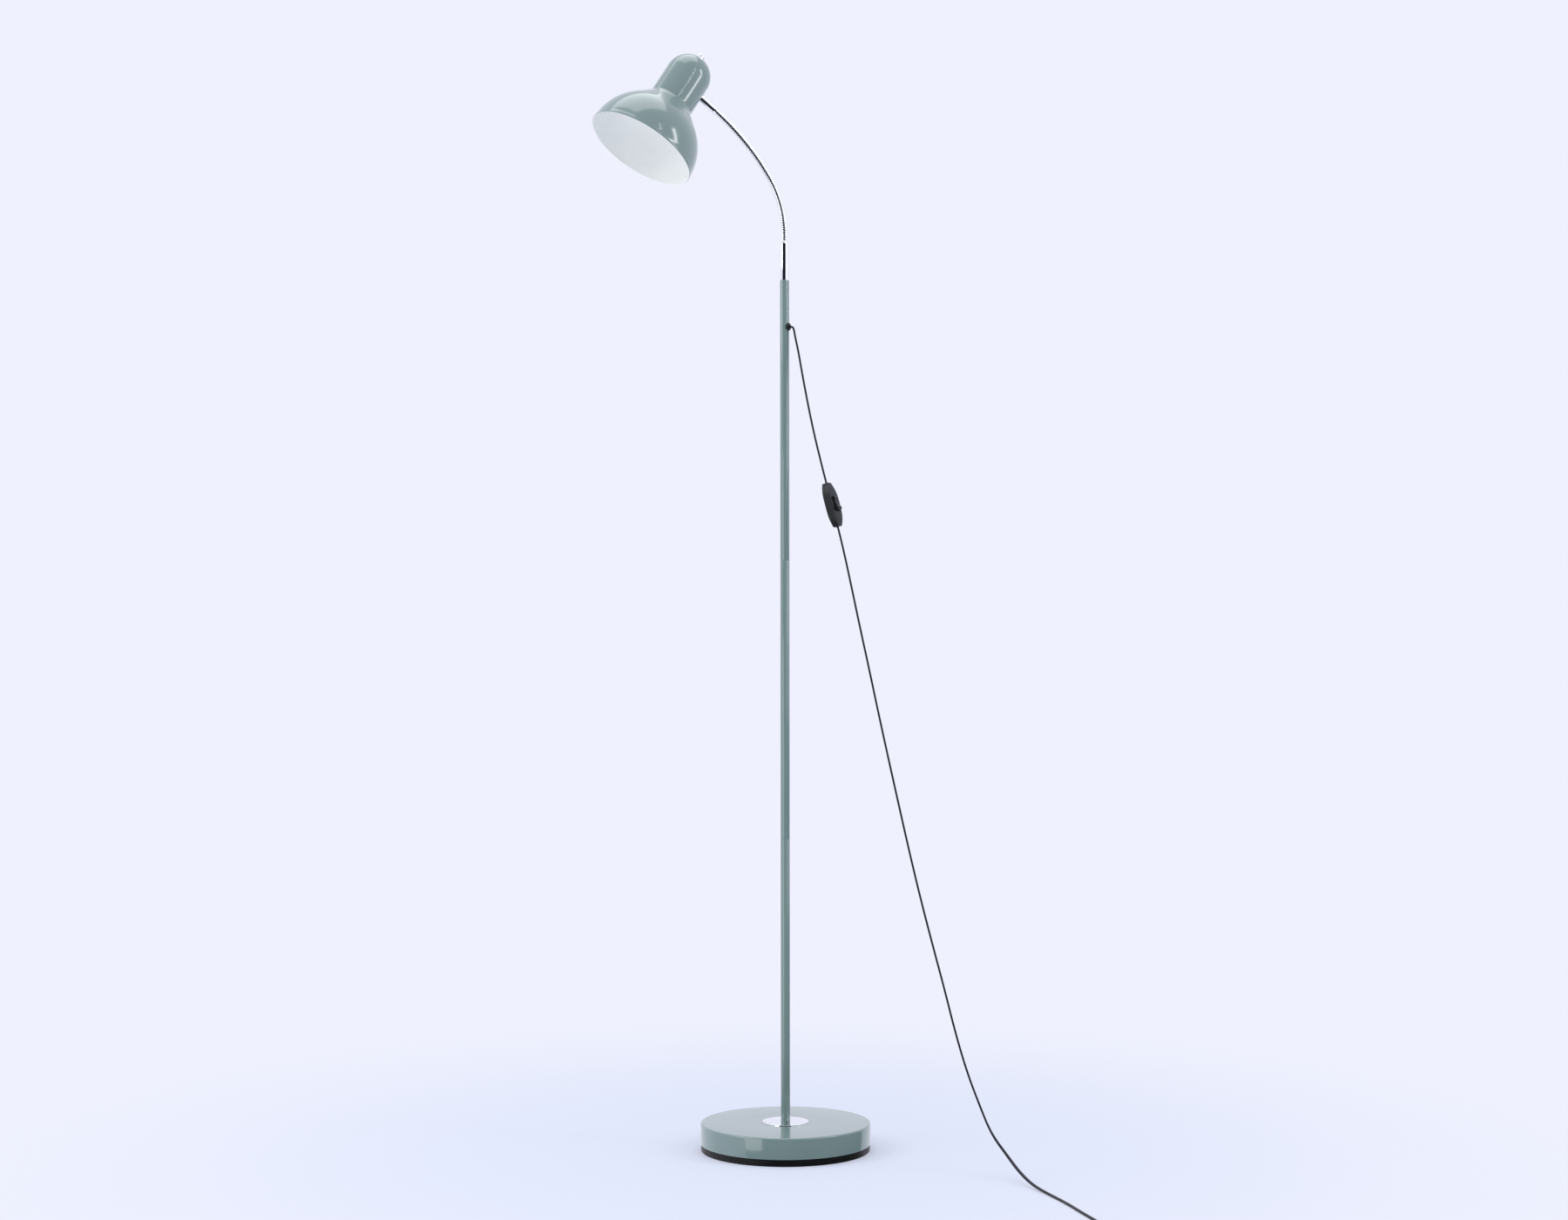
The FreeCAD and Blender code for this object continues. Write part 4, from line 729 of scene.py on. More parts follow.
# ---------------------------------------------------------------- head
@dataclass
class Head:
    """Shade, cup, ferrule, lampholder and finial, in coordinates up the shade's axis."""

    line: NeckLine
    ferrule_length: float = 29.0 * MM
    ferrule_radius: float = 5.3 * MM
    ferrule_taper: float = 6.0 * MM
    ferrule_height: float = 108.7 * MM
    wall: float = 0.8 * MM
    mouth_radius: float = 70.8 * MM
    rim: float = 1.4 * MM
    ball_radius: float = 70.3 * MM
    ball_height: float = 2.6 * MM
    break_radius: float = 50.5 * MM
    cup_radius: float = 29.1 * MM
    cup_foot: float = 73.5 * MM
    cup_shoulder: float = 118.0 * MM
    cup_flare: float = 5.0 * MM
    nipple_radius: float = 5.0 * MM
    finial_radius: float = 6.6 * MM
    finial_length: float = 7.5 * MM
    holder_mouth: float = 66.0 * MM
    holder_radius: float = 19.5 * MM
    holder_bore: float = 14.0 * MM
    holder_length: float = 36.0 * MM
    shell_length: float = 24.0 * MM
    thread_pitch: float = 3.63 * MM
    thread_depth: float = 0.42 * MM
    facets: int = 160

    @property
    def place(self) -> Matrix:
        """Head to lamp coordinates; local X points at the ferrule."""
        end = self.line.at(self.line.length)
        out, up = end.col[2].xyz, end.col[0].xyz
        origin = end.translation + out * (self.ferrule_length + self.cup_radius) - up * self.ferrule_height
        matrix = Matrix((-out, Vector((0.0, 1.0, 0.0)), up)).transposed().to_4x4()
        matrix.translation = origin
        return matrix

    def build(self, finishes: FinishSet) -> None:
        """Make the head's pieces.

        Args:
            finishes: The lamp's finishes.
        """
        self.make_dome(finishes)
        self.make_cup(finishes)
        self.make_ferrule(finishes)
        self.make_finial(finishes)
        self.make_holder(finishes)

    def ball(self, radius: float, ball: float) -> float:
        """Height of a ball of that radius about the dome's centre, at a distance from the axis."""
        return self.ball_height + math.sqrt(ball ** 2 - radius ** 2)

    def make_dome(self, finishes: FinishSet) -> None:
        """Make the spun dome, painted outside and white inside.

        Args:
            finishes: The lamp's finishes.
        """
        wall, rim = self.wall, self.rim
        break_height = self.ball(self.break_radius, self.ball_radius)
        slope = (self.cup_foot - break_height) / (self.break_radius - self.cup_radius)
        start = math.degrees(math.acos(self.break_radius / self.ball_radius))
        low = math.degrees(math.asin((5.0 * MM - self.ball_height) / self.ball_radius))
        neck = self.cup_radius - wall - 0.2 * MM
        painted, white = 0, 1
        outline = Outline().to(neck - wall, self.cup_foot + 5.0 * MM, white)
        outline.to(neck, self.cup_foot + 5.0 * MM, white)
        outline.to(neck, self.cup_foot + slope * (self.cup_radius - neck), painted)
        for share in (0.25, 0.5, 0.75, 0.93):
            radius = self.cup_radius + (self.break_radius - self.cup_radius) * share
            outline.to(radius, self.cup_foot - slope * (radius - self.cup_radius), painted)
        outline.arc(0.0, self.ball_height, self.ball_radius, start - 1.0, low, 40, painted)
        outline.to(self.mouth_radius - 0.15 * MM, 2.6 * MM, painted).to(self.mouth_radius, 1.9 * MM, painted)
        outline.arc(self.mouth_radius - rim / 2.0, rim / 2.0, rim / 2.0, 0, -80, 4, painted)
        outline.arc(self.mouth_radius - rim / 2.0, rim / 2.0, rim / 2.0, -100, -180, 4, white)
        outline.to(self.mouth_radius - rim, 1.6 * MM, white)
        inner = self.ball_radius - wall
        outline.arc(0.0, self.ball_height, inner, low, start - 1.0, 40, white)
        for share in (0.93, 0.75, 0.5, 0.25, 0.0):
            radius = self.cup_radius + (self.break_radius - self.cup_radius) * share
            height = self.cup_foot - slope * (radius - self.cup_radius)
            outline.to(radius - 0.75 * wall, height - 0.75 * wall, white)
        dome = turned("shade_dome_paint", outline, self.facets, [finishes.sage, finishes.white],
                      self.place, 50.0)
        settle(dome, "head", Slot.SHADE_PAINT, "shade_dome")

    def make_cup(self, finishes: FinishSet) -> None:
        """Make the round-topped cup, whose foot flares out onto the dome.

        Args:
            finishes: The lamp's finishes.
        """
        break_height = self.ball(self.break_radius, self.ball_radius)
        slope = (self.cup_foot - break_height) / (self.break_radius - self.cup_radius)
        lean = math.atan2(1.0, slope)
        run = self.cup_flare * math.tan(lean / 2.0)
        centre = self.cup_radius + self.cup_flare
        inner = self.cup_radius - self.wall
        hole = self.nipple_radius + 0.1 * MM
        outline = Outline()
        foot_lift = 0.12 * MM
        outline.arc(centre, self.cup_foot + run + foot_lift, self.cup_flare, 180 + math.degrees(lean), 180, 8)
        tip = math.degrees(math.acos(hole / self.cup_radius))
        outline.to(self.cup_radius, 0.5 * (self.cup_foot + self.cup_shoulder))
        outline.arc(0.0, self.cup_shoulder, self.cup_radius, 0, tip, 32)
        outline.arc(0.0, self.cup_shoulder, inner, tip, 0, 24, 1)
        outline.to(inner, self.cup_foot + 0.6 * MM, 1)
        cup = turned("shade_cup_paint", outline, self.facets, [finishes.sage, finishes.white],
                     self.place, 50.0)
        settle(cup, "head", Slot.SHADE_PAINT, "shade_cup")

    def make_ferrule(self, finishes: FinishSet) -> None:
        """Make the chrome end tube of the neck, with its seat on the cup and a flared mouth.

        Args:
            finishes: The lamp's finishes.
        """
        turn = Matrix.Rotation(math.radians(90), 4, "Y")
        place = self.place @ Matrix.Translation((0.0, 0.0, self.ferrule_height)) @ turn
        start = self.cup_radius - 0.45 * MM
        end = self.cup_radius + self.ferrule_length
        mouth = 4.55 * MM
        spigot = 4.9 * MM
        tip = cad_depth(self.place, "neck_ferrule", self.ferrule_height)
        outline = Outline().to(2.6 * MM, tip).to(spigot, tip).to(spigot, start).to(self.ferrule_radius, start)
        outline.to(self.ferrule_radius, end - self.ferrule_taper)
        outline.arc(self.ferrule_radius - 1.2 * MM, end - self.ferrule_taper + 0.2 * MM, 1.2 * MM, 0, 35, 4)
        outline.to(mouth + 0.2 * MM, end - 0.6 * MM)
        outline.arc(mouth - 0.05 * MM, end - 0.4 * MM, 0.25 * MM, 0, 90, 4)
        outline.to(mouth - 0.2 * MM, end - 0.15 * MM).to(mouth - 0.2 * MM, end - 11.0 * MM)
        outline.to(2.6 * MM, end - 11.0 * MM)
        ferrule = turned("neck_ferrule_chrome", outline, 64, [finishes.chrome], place)
        settle(ferrule, "head", Slot.CHROME, "neck_ferrule")

    def make_finial(self, finishes: FinishSet) -> None:
        """Make the chrome cap nut on top of the cup.

        Args:
            finishes: The lamp's finishes.
        """
        foot = self.cup_shoulder + self.cup_radius - 0.4 * MM
        top = foot + self.finial_length
        radius, neck = self.finial_radius, 5.0 * MM
        outline = Outline().to(0.0, foot).to(radius - 0.3 * MM, foot).to(radius, foot + 0.3 * MM)
        outline.to(radius, foot + 1.6 * MM).to(radius - 0.3 * MM, foot + 1.9 * MM)
        outline.to(neck + 0.2 * MM, foot + 2.1 * MM)
        outline.to(neck, foot + 2.4 * MM).to(neck, top - 2.6 * MM)
        outline.arc(neck - 2.6 * MM, top - 2.6 * MM, 2.6 * MM, 0, 90, 8).to(0.0, top)
        finial = turned("finial_nut_chrome", outline, 64, [finishes.chrome], self.place)
        settle(finial, "head", Slot.CHROME, "finial_nut")

    def make_holder(self, finishes: FinishSet) -> None:
        """Make the lampholder's skirt and its threaded shell.

        Args:
            finishes: The lamp's finishes.
        """
        low, high = self.holder_mouth, self.holder_mouth + self.holder_length
        waist = self.holder_radius - 1.0 * MM
        outline = Outline().to(self.holder_bore, low + 0.6 * MM).to(self.holder_bore + 0.6 * MM, low)
        outline.arc(self.holder_radius - 1.2 * MM, low + 1.2 * MM, 1.2 * MM, -90, 0, 6)
        outline.arc(self.holder_radius - 0.8 * MM, low + 8.2 * MM, 0.8 * MM, 0, 60, 4)
        outline.to(waist, low + 9.4 * MM)
        for groove in range(3):
            middle = low + 13.0 * MM + groove * 4.0 * MM
            outline.to(waist, middle - 0.7 * MM).to(waist - 0.5 * MM, middle - 0.2 * MM)
            outline.to(waist - 0.5 * MM, middle + 0.2 * MM).to(waist, middle + 0.7 * MM)
        outline.to(waist, high).to(0.0, high).to(0.0, high - 3.0 * MM).to(self.holder_bore, high - 3.0 * MM)
        skirt = turned("lampholder_skirt_moulding", outline, 96, [finishes.holder], self.place)
        settle(skirt, "head", Slot.HOLDER_MOULDING, "lampholder_skirt")
        self.make_thread(finishes, low + 1.0 * MM)

    def make_thread(self, finishes: FinishSet, foot: float) -> None:
        """Make the brass shell with its rounded thread.

        Args:
            finishes: The lamp's finishes.
            foot: Height of the shell's mouth.
        """
        shape = bmesh.new()
        sides, steps_per_pitch, sheet = 72, 10, 0.3 * MM
        middle = self.holder_bore - 0.05 * MM - sheet - self.thread_depth
        steps = int(self.shell_length / self.thread_pitch * steps_per_pitch)
        rings = []
        for thickness in (0.0, sheet):
            side_rings = []
            for step in range(steps + 1):
                height = self.shell_length * step / steps
                ends = min(1.0, height / (2.0 * MM), (self.shell_length - height) / (2.0 * MM))
                ring = []
                for side in range(sides):
                    angle = 2.0 * math.pi * side / sides
                    wave = math.cos(2.0 * math.pi * height / self.thread_pitch - angle)
                    radius = middle + thickness + self.thread_depth * wave * ends
                    spot = Vector((radius * math.cos(angle), radius * math.sin(angle), foot + height))
                    ring.append(shape.verts.new(self.place @ spot))
                side_rings.append(ring)
            rings += side_rings if thickness == 0.0 else list(reversed(side_rings))
        skin(shape, rings + [rings[0]])
        shell = finish_mesh("screw_shell_brass", shape, [finishes.brass])
        settle(shell, "head", Slot.BRASS, "screw_shell")


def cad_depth(place: Matrix, node: str, height: float) -> float:
    """Least local X of a solid of the frame, seen along the level line at a height of the head.

    Args:
        place: Head to lamp coordinates.
        node: The solid.
        height: Height of that line up the head's axis.

    Returns:
        The local X of its inner end.
    """
    back = place.inverted()
    reach = [back @ vertex.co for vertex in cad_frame()["nodes"][node].data.vertices]
    return min(point.x for point in reach if abs(point.z - height) < 8.0 * MM)


# ---------------------------------------------------------------- cord
@dataclass
class FlatCord:
    """Flat twin cord: two round cores side by side, with a shallow groove between them."""

    heading: float = math.radians(-61.5)
    width: float = 4.4 * MM
    thickness: float = 2.6 * MM
    lobe_steps: int = 9
    floor_height: float = 1.35 * MM
    view_away: Vector = field(default_factory=lambda: Vector((0.5150, 0.8572, 0.0)))
    upper: tuple[tuple[float, float], ...] = (
        (0.0075, 1.0650), (0.0112, 1.0650), (0.0140, 1.0616), (0.0154, 1.0530), (0.0200, 1.0350),
        (0.0252, 1.0085), (0.0334, 0.9695), (0.0433, 0.9270), (0.0563, 0.8801), (0.0620, 0.8609))
    lower: tuple[tuple[float, float], ...] = (
        (0.0786, 0.8051), (0.0843, 0.7859), (0.0964, 0.7374), (0.1098, 0.6810), (0.1243, 0.6227),
        (0.1376, 0.5673), (0.1521, 0.5091), (0.1669, 0.4509), (0.1818, 0.3929), (0.1970, 0.3370),
        (0.2134, 0.2814), (0.2305, 0.2257), (0.2463, 0.1702), (0.2625, 0.1225), (0.2800, 0.0825))
    landing: tuple[tuple[float, float, float], ...] = (
        (0.1422, -0.2584, 0.0490), (0.1486, -0.2829, 0.0260), (0.1434, -0.3144, 0.0125),
        (0.1355, -0.3532, 0.0040))
    floor_run: tuple[tuple[float, float], ...] = (
        (0.1291, -0.3949), (0.1181, -0.4443), (0.1029, -0.4947), (0.0892, -0.5447))
    coil_centre: tuple[float, float] = (0.0475, -0.5870)
    coil_radius: float = 30.0 * MM
    coil_pitch: float = 4.6 * MM
    coil_start: float = math.radians(-13.8)
    turns_in: float = 1.0
    turns_back: float = 0.5
    turns_out: float = 0.8
    points_per_turn: int = 14
    plug_height: float = 6.9 * MM
    lead_out: float = 15.0 * MM
    upper_length: float = 0.214
    lower_length: float = 1.548

    def outward(self, distance: float, height: float) -> Vector:
        """Point of the upright plane in which the cord hangs."""
        return Vector((distance * math.cos(self.heading), distance * math.sin(self.heading), height))

    def coil(self) -> list[Vector]:
        """Points of the coil: in on the floor, back out on top of itself, and out to the plug."""
        total = self.turns_in + self.turns_back + self.turns_out
        steps = round(total * self.points_per_turn)
        reversal = self.turns_in + self.turns_back / 2.0
        inmost = self.coil_radius - self.coil_pitch * reversal
        stacked = self.floor_height + self.thickness + 0.15 * MM
        points = []
        for step in range(steps + 1):
            turn = total * step / steps
            radius = inmost + self.coil_pitch * abs(turn - reversal)
            angle = self.coil_start - 2.0 * math.pi * turn
            climb = min(1.0, max(0.0, (turn - self.turns_in) / self.turns_back))
            rise = min(1.0, max(0.0, (turn - total + 0.35) / 0.35))
            height = self.floor_height + (stacked - self.floor_height) * climb
            height += (self.plug_height - stacked) * rise
            points.append(Vector((self.coil_centre[0] + radius * math.cos(angle),
                                  self.coil_centre[1] + radius * math.sin(angle), height)))
        last = points[-1] - Vector((*self.coil_centre, points[-1].z))
        ahead = Vector((last.y, -last.x, 0.0)).normalized()
        points.append(points[-1] + ahead * self.lead_out)
        return points

    def along(self, points: Sequence[Vector], finest: int = 8) -> list[Vector]:
        """Points read from the smooth curve that a route steers.

        Args:
            points: The route's control points.
            finest: Points read per control point.

        Returns:
            The curve's points in order.
        """
        curve = bpy.data.curves.new("route", "CURVE")
        curve.dimensions = "3D"
        curve.resolution_u = finest
        spline = curve.splines.new("NURBS")
        spline.points.add(len(points) - 1)
        for point, place in zip(spline.points, points):
            point.co = (*place, 1.0)
        spline.order_u = 3
        spline.use_endpoint_u = True
        holder = bpy.data.objects.new("route", curve)
        bpy.context.scene.collection.objects.link(holder)
        bpy.context.view_layer.update()
        mesh = bpy.data.meshes.new_from_object(holder.evaluated_get(bpy.context.evaluated_depsgraph_get()))
        path = [vertex.co.copy() for vertex in mesh.vertices]
        bpy.data.objects.remove(holder)
        bpy.data.meshes.remove(mesh)
        bpy.data.curves.remove(curve)
        return path

    def section(self) -> list[tuple[float, float]]:
        """Figure-of-eight section as (across the width, across the thickness)."""
        core = self.thickness / 2.0
        offset = self.width / 2.0 - core
        waist = math.acos(-offset / core) if offset < core else math.pi / 2.0
        points = []
        for side in (1.0, -1.0):
            for step in range(self.lobe_steps):
                angle = waist * (2.0 * step / (self.lobe_steps - 1) - 1.0)
                points.append((side * (offset + core * math.cos(angle)), side * core * math.sin(angle)))
        return points

    def sweep(self, name: str, path: Sequence[Vector], finish: bpy.types.Material) -> bpy.types.Object:
        """Carry the section along a path: edge-on to the hanging plane, flat on the floor.

        Args:
            name: The piece's name.
            path: The path's points.
            finish: Its material.

        Returns:
            The new object.
        """
        shape = bmesh.new()
        rings = []
        last_wide: Optional[Vector] = None
        for index, spot in enumerate(path):
            ahead = (path[min(index + 1, len(path) - 1)] - path[max(index - 1, 0)]).normalized()
            hanging = (self.view_away - ahead * self.view_away.dot(ahead)).normalized()
            lying = Vector((0.0, 0.0, 1.0)).cross(ahead)
            lying = lying.normalized() if lying.length > 0.02 else hanging
            if lying.dot(last_wide or hanging) < 0.0:
                lying = -lying
            share = min(1.0, max(0.0, (spot.z - 8.0 * MM) / (60.0 * MM)))
            wide = lying.lerp(hanging, share).normalized()
            wide = (wide - ahead * wide.dot(ahead)).normalized()
            last_wide = wide
            thin = ahead.cross(wide)
            rings.append([shape.verts.new(spot + wide * a + thin * b) for a, b in self.section()])
        skin(shape, rings)
        shape.faces.new(rings[0])
        shape.faces.new(rings[-1])
        return finish_mesh(name, shape, [finish], crease=55.0)

    def build(self, finishes: FinishSet, switch: Sequence[bpy.types.Object],
              plug: Sequence[bpy.types.Object]) -> None:
        """Make the two lengths of cord.

        Args:
            finishes: The lamp's finishes.
            switch: Pieces of the switch between the two lengths; not used.
            plug: Pieces at the far end; not used.
        """
        upper = [self.outward(*point) for point in self.upper]
        lower = [self.outward(*point) for point in self.lower] + [Vector(point) for point in self.landing]
        lower += [Vector((x, y, self.floor_height)) for x, y in self.floor_run] + self.coil()
        upper_path = self.along(upper)
        lower_path = self.along(lower)
        top = self.sweep("cord_above_switch", upper_path, finishes.sheath)
        settle(top, "root", Slot.BLACK_CORD, "cord_upper")
        bottom = self.sweep("cord_below_switch", lower_path, finishes.sheath)
        settle(bottom, "root", Slot.BLACK_CORD, "cord_lower", "cord_coil")


@dataclass
class CordFittings:
    """What sits on the cord: grommet, in-line switch, tie and plug."""

    boot_ribs: int = 5
    boot_tip: float = 3.3 * MM
    boot_root: float = 4.6 * MM
    boot_bore: float = 2.2 * MM

    def build(self, finishes: FinishSet) -> tuple[list[bpy.types.Object], list[bpy.types.Object]]:
        """Make the fittings.

        Args:
            finishes: The lamp's finishes.

        Returns:
            The switch's pieces and the plug's pieces.
        """
        grommet = softened("cord_grommet", [finishes.black], 0.35 * MM, "cord_grommet_bush")
        settle(grommet, "root", Slot.BLACK_MOULDING)
        switch = []
        edges = (("switch_cover", 0.9 * MM), ("switch_back", 0.9 * MM), ("switch_rocker", 0.35 * MM))
        for node, radius in edges:
            part = softened(node, [finishes.black], radius, node + "_moulding")
            body = "rocker" if node == "switch_rocker" else "root"
            switch.append(settle(part, body, Slot.BLACK_MOULDING))
        plug_body = softened("plug_body", [finishes.black], 1.0 * MM, "plug_body_moulding")
        pins = softened("plug_pins", [finishes.brass], 0.5 * MM, "plug_pins_brass")
        tie = softened("coil_tie", [finishes.black], 0.25 * MM, "coil_tie_band")
        plug = [settle(plug_body, "root", Slot.BLACK_MOULDING), settle(pins, "root", Slot.BRASS),
                settle(tie, "root", Slot.BLACK_MOULDING), self.make_boot(finishes)]
        return switch, plug

    def make_boot(self, finishes: FinishSet) -> bpy.types.Object:
        """Make the ribbed strain relief of the plug.

        Args:
            finishes: The lamp's finishes.

        Returns:
            The new piece.
        """
        pins_low, pins_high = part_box("plug_pins")
        boot_low, boot_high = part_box("plug_boot")
        root = (pins_low + pins_high) / 2.0
        middle = (boot_low + boot_high) / 2.0
        ahead = (root - middle).normalized()
        side = Vector((0.0, 0.0, 1.0)).cross(ahead).normalized()
        place = Matrix((ahead.cross(side), side, ahead)).transposed().to_4x4()
        length = 20.0 * MM
        place.translation = middle - ahead * length / 2.0
        outline = Outline().to(self.boot_bore, 0.0).to(self.boot_tip - 0.3 * MM, 0.0)
        outline.to(self.boot_tip, 0.3 * MM)
        for rib in range(self.boot_ribs):
            low = length * (0.12 + 0.16 * rib)
            radius = self.boot_tip + (self.boot_root - self.boot_tip) * low / length
            outline.to(radius, low).to(radius - 0.7 * MM, low + 0.3 * MM)
            outline.to(radius - 0.7 * MM, low + 1.4 * MM).to(radius + 0.1 * MM, low + 1.7 * MM)
        outline.to(self.boot_root, length).to(self.boot_bore, length)
        boot = turned("plug_boot_moulding", outline, 40, [finishes.black], place)
        return settle(boot, "root", Slot.BLACK_MOULDING, "plug_boot")


# ---------------------------------------------------------------- studio
@dataclass
class Studio:
    """Pale floor and backdrop, soft lights and the camera."""

    camera_away: float = math.radians(31.0)
    camera_distance: float = 3.450
    camera_height: float = 0.6986
    camera_shift: float = 1.2 * MM
    camera_roll: float = math.radians(-0.067)
    sensor: float = 36.0
    lens: float = 61.16
    backdrop: Colour = (0.863, 0.879, 0.991)
    ambient: Colour = (0.93, 0.95, 1.0)
    ambient_strength: float = 0.80
    floor_radius: float = 14.0
    floor_facets: int = 96
    floor_bounce: Colour = (0.84, 0.85, 0.93)
    # Painted shade: the floor colour the camera sees is darker than the one it bounces, and it has its
    # largest share near the pole.
    floor_painted_shade_tone: Colour = (0.61, 0.66, 0.80)
    shade_pool_near: tuple[float, float] = (0.15, 0.30)
    shade_pool_far: tuple[float, float] = (1.15, 1.0)
    card_distance: float = 5.2
    card_steps: int = 24
    card_tone: Colour = (0.012, 0.014, 0.018)

    def toward(self, degrees: float, distance: float, height: float) -> Vector:
        """Point round the lamp; 0 degrees lies towards the camera, positive to its right.

        Args:
            degrees: Direction as seen from above.
            distance: Distance from the pole.
            height: Height above the floor.

        Returns:
            The point.
        """
        turn = math.radians(degrees)
        back = Vector((-math.sin(self.camera_away), -math.cos(self.camera_away), 0.0))
        right = Vector((math.cos(self.camera_away), -math.sin(self.camera_away), 0.0))
        return (back * math.cos(turn) + right * math.sin(turn)) * distance + Vector((0.0, 0.0, height))

    def build(self) -> None:
        """Set up camera, world, floor and lights."""
        self.make_camera()
        self.make_world()
        self.make_floor()
        self.make_card("dark_card", (-56.0, 27.0), (-10.0, 4.2))
        self.make_card("low_card", (27.0, 125.0), (-6.0, 0.2))
        self.make_light("key_panel", self.toward(-75.0, 2.6, 2.3), (1.6, 1.6), 26.0)
        self.make_light("right_strip", self.toward(72.0, 2.3, 1.65), (0.32, 1.7), 13.0)
        self.make_light("right_line", self.toward(40.0, 2.3, 2.45), (0.05, 1.0), 2.0)
        self.make_light("left_strip", self.toward(-43.0, 2.6, 0.1), (1.1, 1.6), 14.0)
        self.make_light("top_panel", Vector((0.0, 0.3, 3.2)), (2.0, 2.0), 22.0)

    def make_camera(self) -> None:
        """Make the camera at the photograph's place."""
        data = bpy.data.cameras.new("camera")
        data.sensor_width = self.sensor
        data.lens = self.lens
        camera = bpy.data.objects.new("camera", data)
        right = Vector((math.cos(self.camera_away), -math.sin(self.camera_away), 0.0))
        place = self.toward(0.0, self.camera_distance, self.camera_height)
        camera.location = place - right * self.camera_shift
        level = Matrix.Rotation(-self.camera_away, 3, "Z") @ Matrix.Rotation(math.pi / 2.0, 3, "X")
        camera.rotation_euler = (level @ Matrix.Rotation(self.camera_roll, 3, "Z")).to_euler()
        bpy.context.scene.collection.objects.link(camera)
        bpy.context.scene.camera = camera
        bpy.context.scene.view_settings.view_transform = "Standard"

    def make_world(self) -> None:
        """Make a pale world: the backdrop's colour where it is seen or mirrored, soft light elsewhere."""
        world = bpy.data.worlds.new("studio")
        bpy.context.scene.world = world
        world.use_nodes = True
        nodes, links = world.node_tree.nodes, world.node_tree.links
        light = nodes["Background"]
        light.inputs["Color"].default_value = (*self.ambient, 1.0)
        light.inputs["Strength"].default_value = self.ambient_strength
        seen = nodes.new("ShaderNodeBackground")
        seen.inputs["Color"].default_value = (*self.backdrop, 1.0)
        rays = nodes.new("ShaderNodeLightPath")
        either = nodes.new("ShaderNodeMath")
        either.operation = "MAXIMUM"
        links.new(rays.outputs["Is Camera Ray"], either.inputs[0])
        links.new(rays.outputs["Is Glossy Ray"], either.inputs[1])
        choice = nodes.new("ShaderNodeMixShader")
        links.new(either.outputs["Value"], choice.inputs["Fac"])
        links.new(light.outputs["Background"], choice.inputs[1])
        links.new(seen.outputs["Background"], choice.inputs[2])
        links.new(choice.outputs["Shader"], nodes["World Output"].inputs["Surface"])

    def make_floor(self) -> None:
        """Make the pale floor, which takes the lamp's real shadow, wears a painted pool of shade near the
        pole and fades into the backdrop.
        """
        shape = bmesh.new()
        bmesh.ops.create_circle(shape, cap_ends=True, segments=self.floor_facets, radius=self.floor_radius)
        material = bpy.data.materials.new("studio_floor")
        material.use_nodes = True
        nodes, links = material.node_tree.nodes, material.node_tree.links
        nodes.remove(nodes["Principled BSDF"])
        paint = nodes.new("ShaderNodeBsdfDiffuse")
        glow = nodes.new("ShaderNodeEmission")
        glow.inputs["Color"].default_value = (*self.backdrop, 1.0)
        rays = nodes.new("ShaderNodeLightPath")
        tone = nodes.new("ShaderNodeMix")
        tone.data_type = "RGBA"
        # Colour sockets of the Mix node share their names, so they are reached by number.
        # Painted shade: the camera sees the darker colour, while the floor bounces the paler one.
        tone.inputs[6].default_value = (*self.floor_bounce, 1.0)
        tone.inputs[7].default_value = (*self.floor_painted_shade_tone, 1.0)
        links.new(rays.outputs["Is Camera Ray"], tone.inputs[0])
        links.new(tone.outputs[2], paint.inputs["Color"])
        reach = nodes.new("ShaderNodeVectorMath")
        reach.operation = "LENGTH"
        links.new(nodes.new("ShaderNodeTexCoord").outputs["Object"], reach.inputs[0])
        # Painted shade: the darker share is largest near the pole and fades into the backdrop's colour with
        # distance.
        fade = nodes.new("ShaderNodeMapRange")
        fade.interpolation_type = "SMOOTHSTEP"
        for end, (distance, amount) in (("Min", self.shade_pool_near), ("Max", self.shade_pool_far)):
            fade.inputs["From " + end].default_value = distance
            fade.inputs["To " + end].default_value = amount
        links.new(reach.outputs["Value"], fade.inputs["Value"])
        share = nodes.new("ShaderNodeMath")
        share.operation = "MULTIPLY"
        links.new(fade.outputs["Result"], share.inputs[1])
        links.new(rays.outputs["Is Camera Ray"], share.inputs[0])
        mix = nodes.new("ShaderNodeMixShader")
        links.new(share.outputs["Value"], mix.inputs["Fac"])
        links.new(paint.outputs["BSDF"], mix.inputs[1])
        links.new(glow.outputs["Emission"], mix.inputs[2])
        links.new(mix.outputs["Shader"], nodes["Material Output"].inputs["Surface"])
        floor = finish_mesh("studio_floor", shape, [material])
        floor.visible_glossy = False

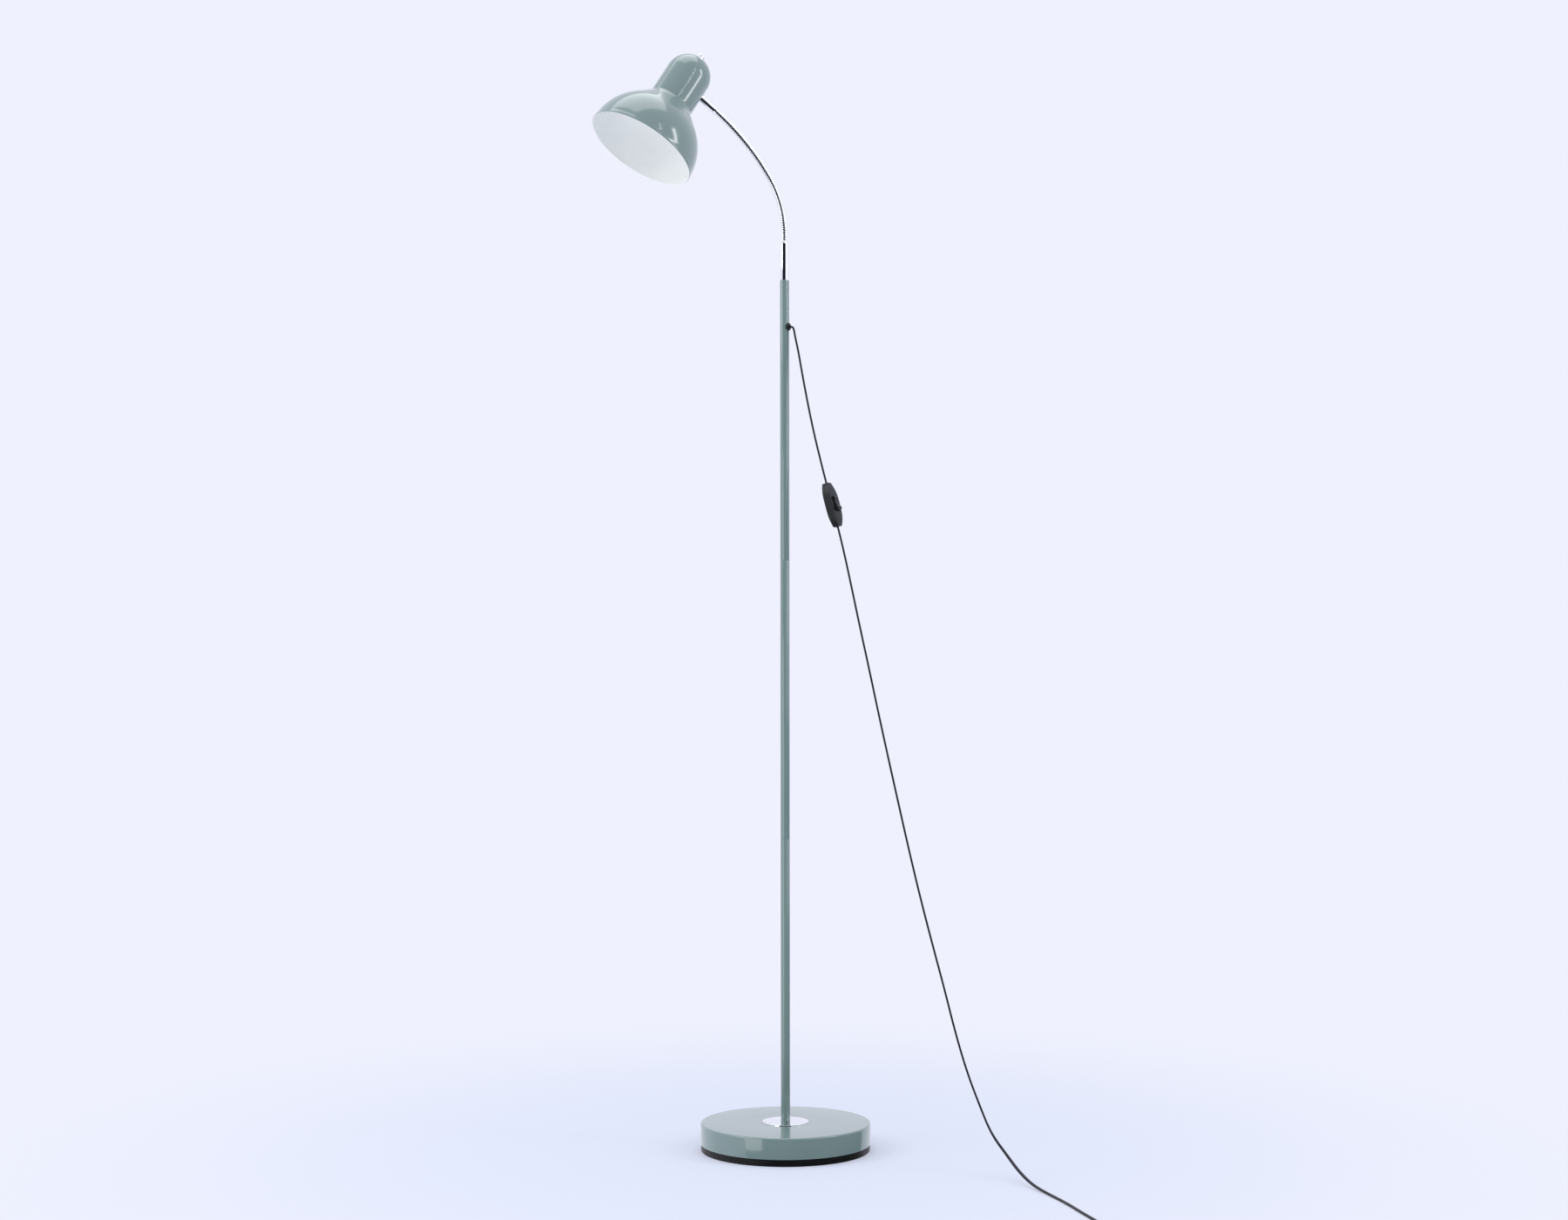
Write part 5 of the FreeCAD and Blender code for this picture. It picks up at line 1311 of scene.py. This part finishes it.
    def make_card(self, name: str, sides: tuple[float, float], heights: tuple[float, float]) -> None:
        """Make a dark card that only gloss and chrome mirror.

        Args:
            name: Its name.
            sides: Directions of its left and right edge in degrees.
            heights: Heights of its lower and upper edge.
        """
        shape = bmesh.new()
        lower, upper = [], []
        for step in range(self.card_steps + 1):
            angle = sides[0] + (sides[1] - sides[0]) * step / self.card_steps
            lower.append(shape.verts.new(self.toward(angle, self.card_distance, heights[0])))
            upper.append(shape.verts.new(self.toward(angle, self.card_distance, heights[1])))
        skin(shape, [lower, upper], closed=False)
        material = bpy.data.materials.new(name)
        material.use_nodes = True
        nodes, links = material.node_tree.nodes, material.node_tree.links
        nodes.remove(nodes["Principled BSDF"])
        dark = nodes.new("ShaderNodeEmission")
        dark.inputs["Color"].default_value = (*self.card_tone, 1.0)
        links.new(dark.outputs["Emission"], nodes["Material Output"].inputs["Surface"])
        card = finish_mesh(name, shape, [material])
        card.visible_camera = False
        card.visible_diffuse = False
        card.visible_shadow = False
        card.visible_transmission = False

    def make_light(self, name: str, spot: Vector, size: tuple[float, float], power: float) -> None:
        """Make a soft light panel that faces the lamp.

        Args:
            name: Its name.
            spot: Where it hangs.
            size: Its width and height in metres.
            power: Its power in watts.
        """
        data = bpy.data.lights.new(name, "AREA")
        data.shape = "RECTANGLE"
        data.size, data.size_y = size
        data.energy = power
        panel = bpy.data.objects.new(name, data)
        panel.location = spot
        target = Vector((0.0, 0.0, min(spot.z, 1.0)))
        panel.rotation_euler = (target - spot).to_track_quat("-Z", "Y").to_euler()
        bpy.context.scene.collection.objects.link(panel)


# ---------------------------------------------------------------- putting it together
def dress_frame(finishes: FinishSet) -> None:
    """Give every solid of the frame the finish of its slot.

    Args:
        finishes: The lamp's finishes.
    """
    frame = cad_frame()
    for entry in frame["record"]["subparts"]:
        node = frame["nodes"][entry["node"]]
        node.data.materials.clear()
        node.data.materials.append(finishes.by_slot[Slot(entry["material_slot"])])
        for face in node.data.polygons:
            face.material_index = 0


def clear_scene() -> None:
    """Remove whatever the empty file starts with."""
    for item in list(bpy.data.objects):
        bpy.data.objects.remove(item)


def main() -> None:
    """Build the studio and the lamp, sub-assembly by sub-assembly."""
    logging.basicConfig(level=logging.INFO, format="%(name)s: %(message)s")
    clear_scene()
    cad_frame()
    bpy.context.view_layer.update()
    Studio().build()
    finishes = FinishSet()
    dress_frame(finishes)
    fittings = CordFittings().build(finishes)
    FlatCord().build(finishes, *fittings)
    WeightedBase().build(finishes)
    Pole().build(finishes)
    line = NeckLine(foot=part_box("neck_sleeve")[1].z)
    Gooseneck(line).build(finishes)
    Head(line).build(finishes)


if __name__ == "__main__":
    main()
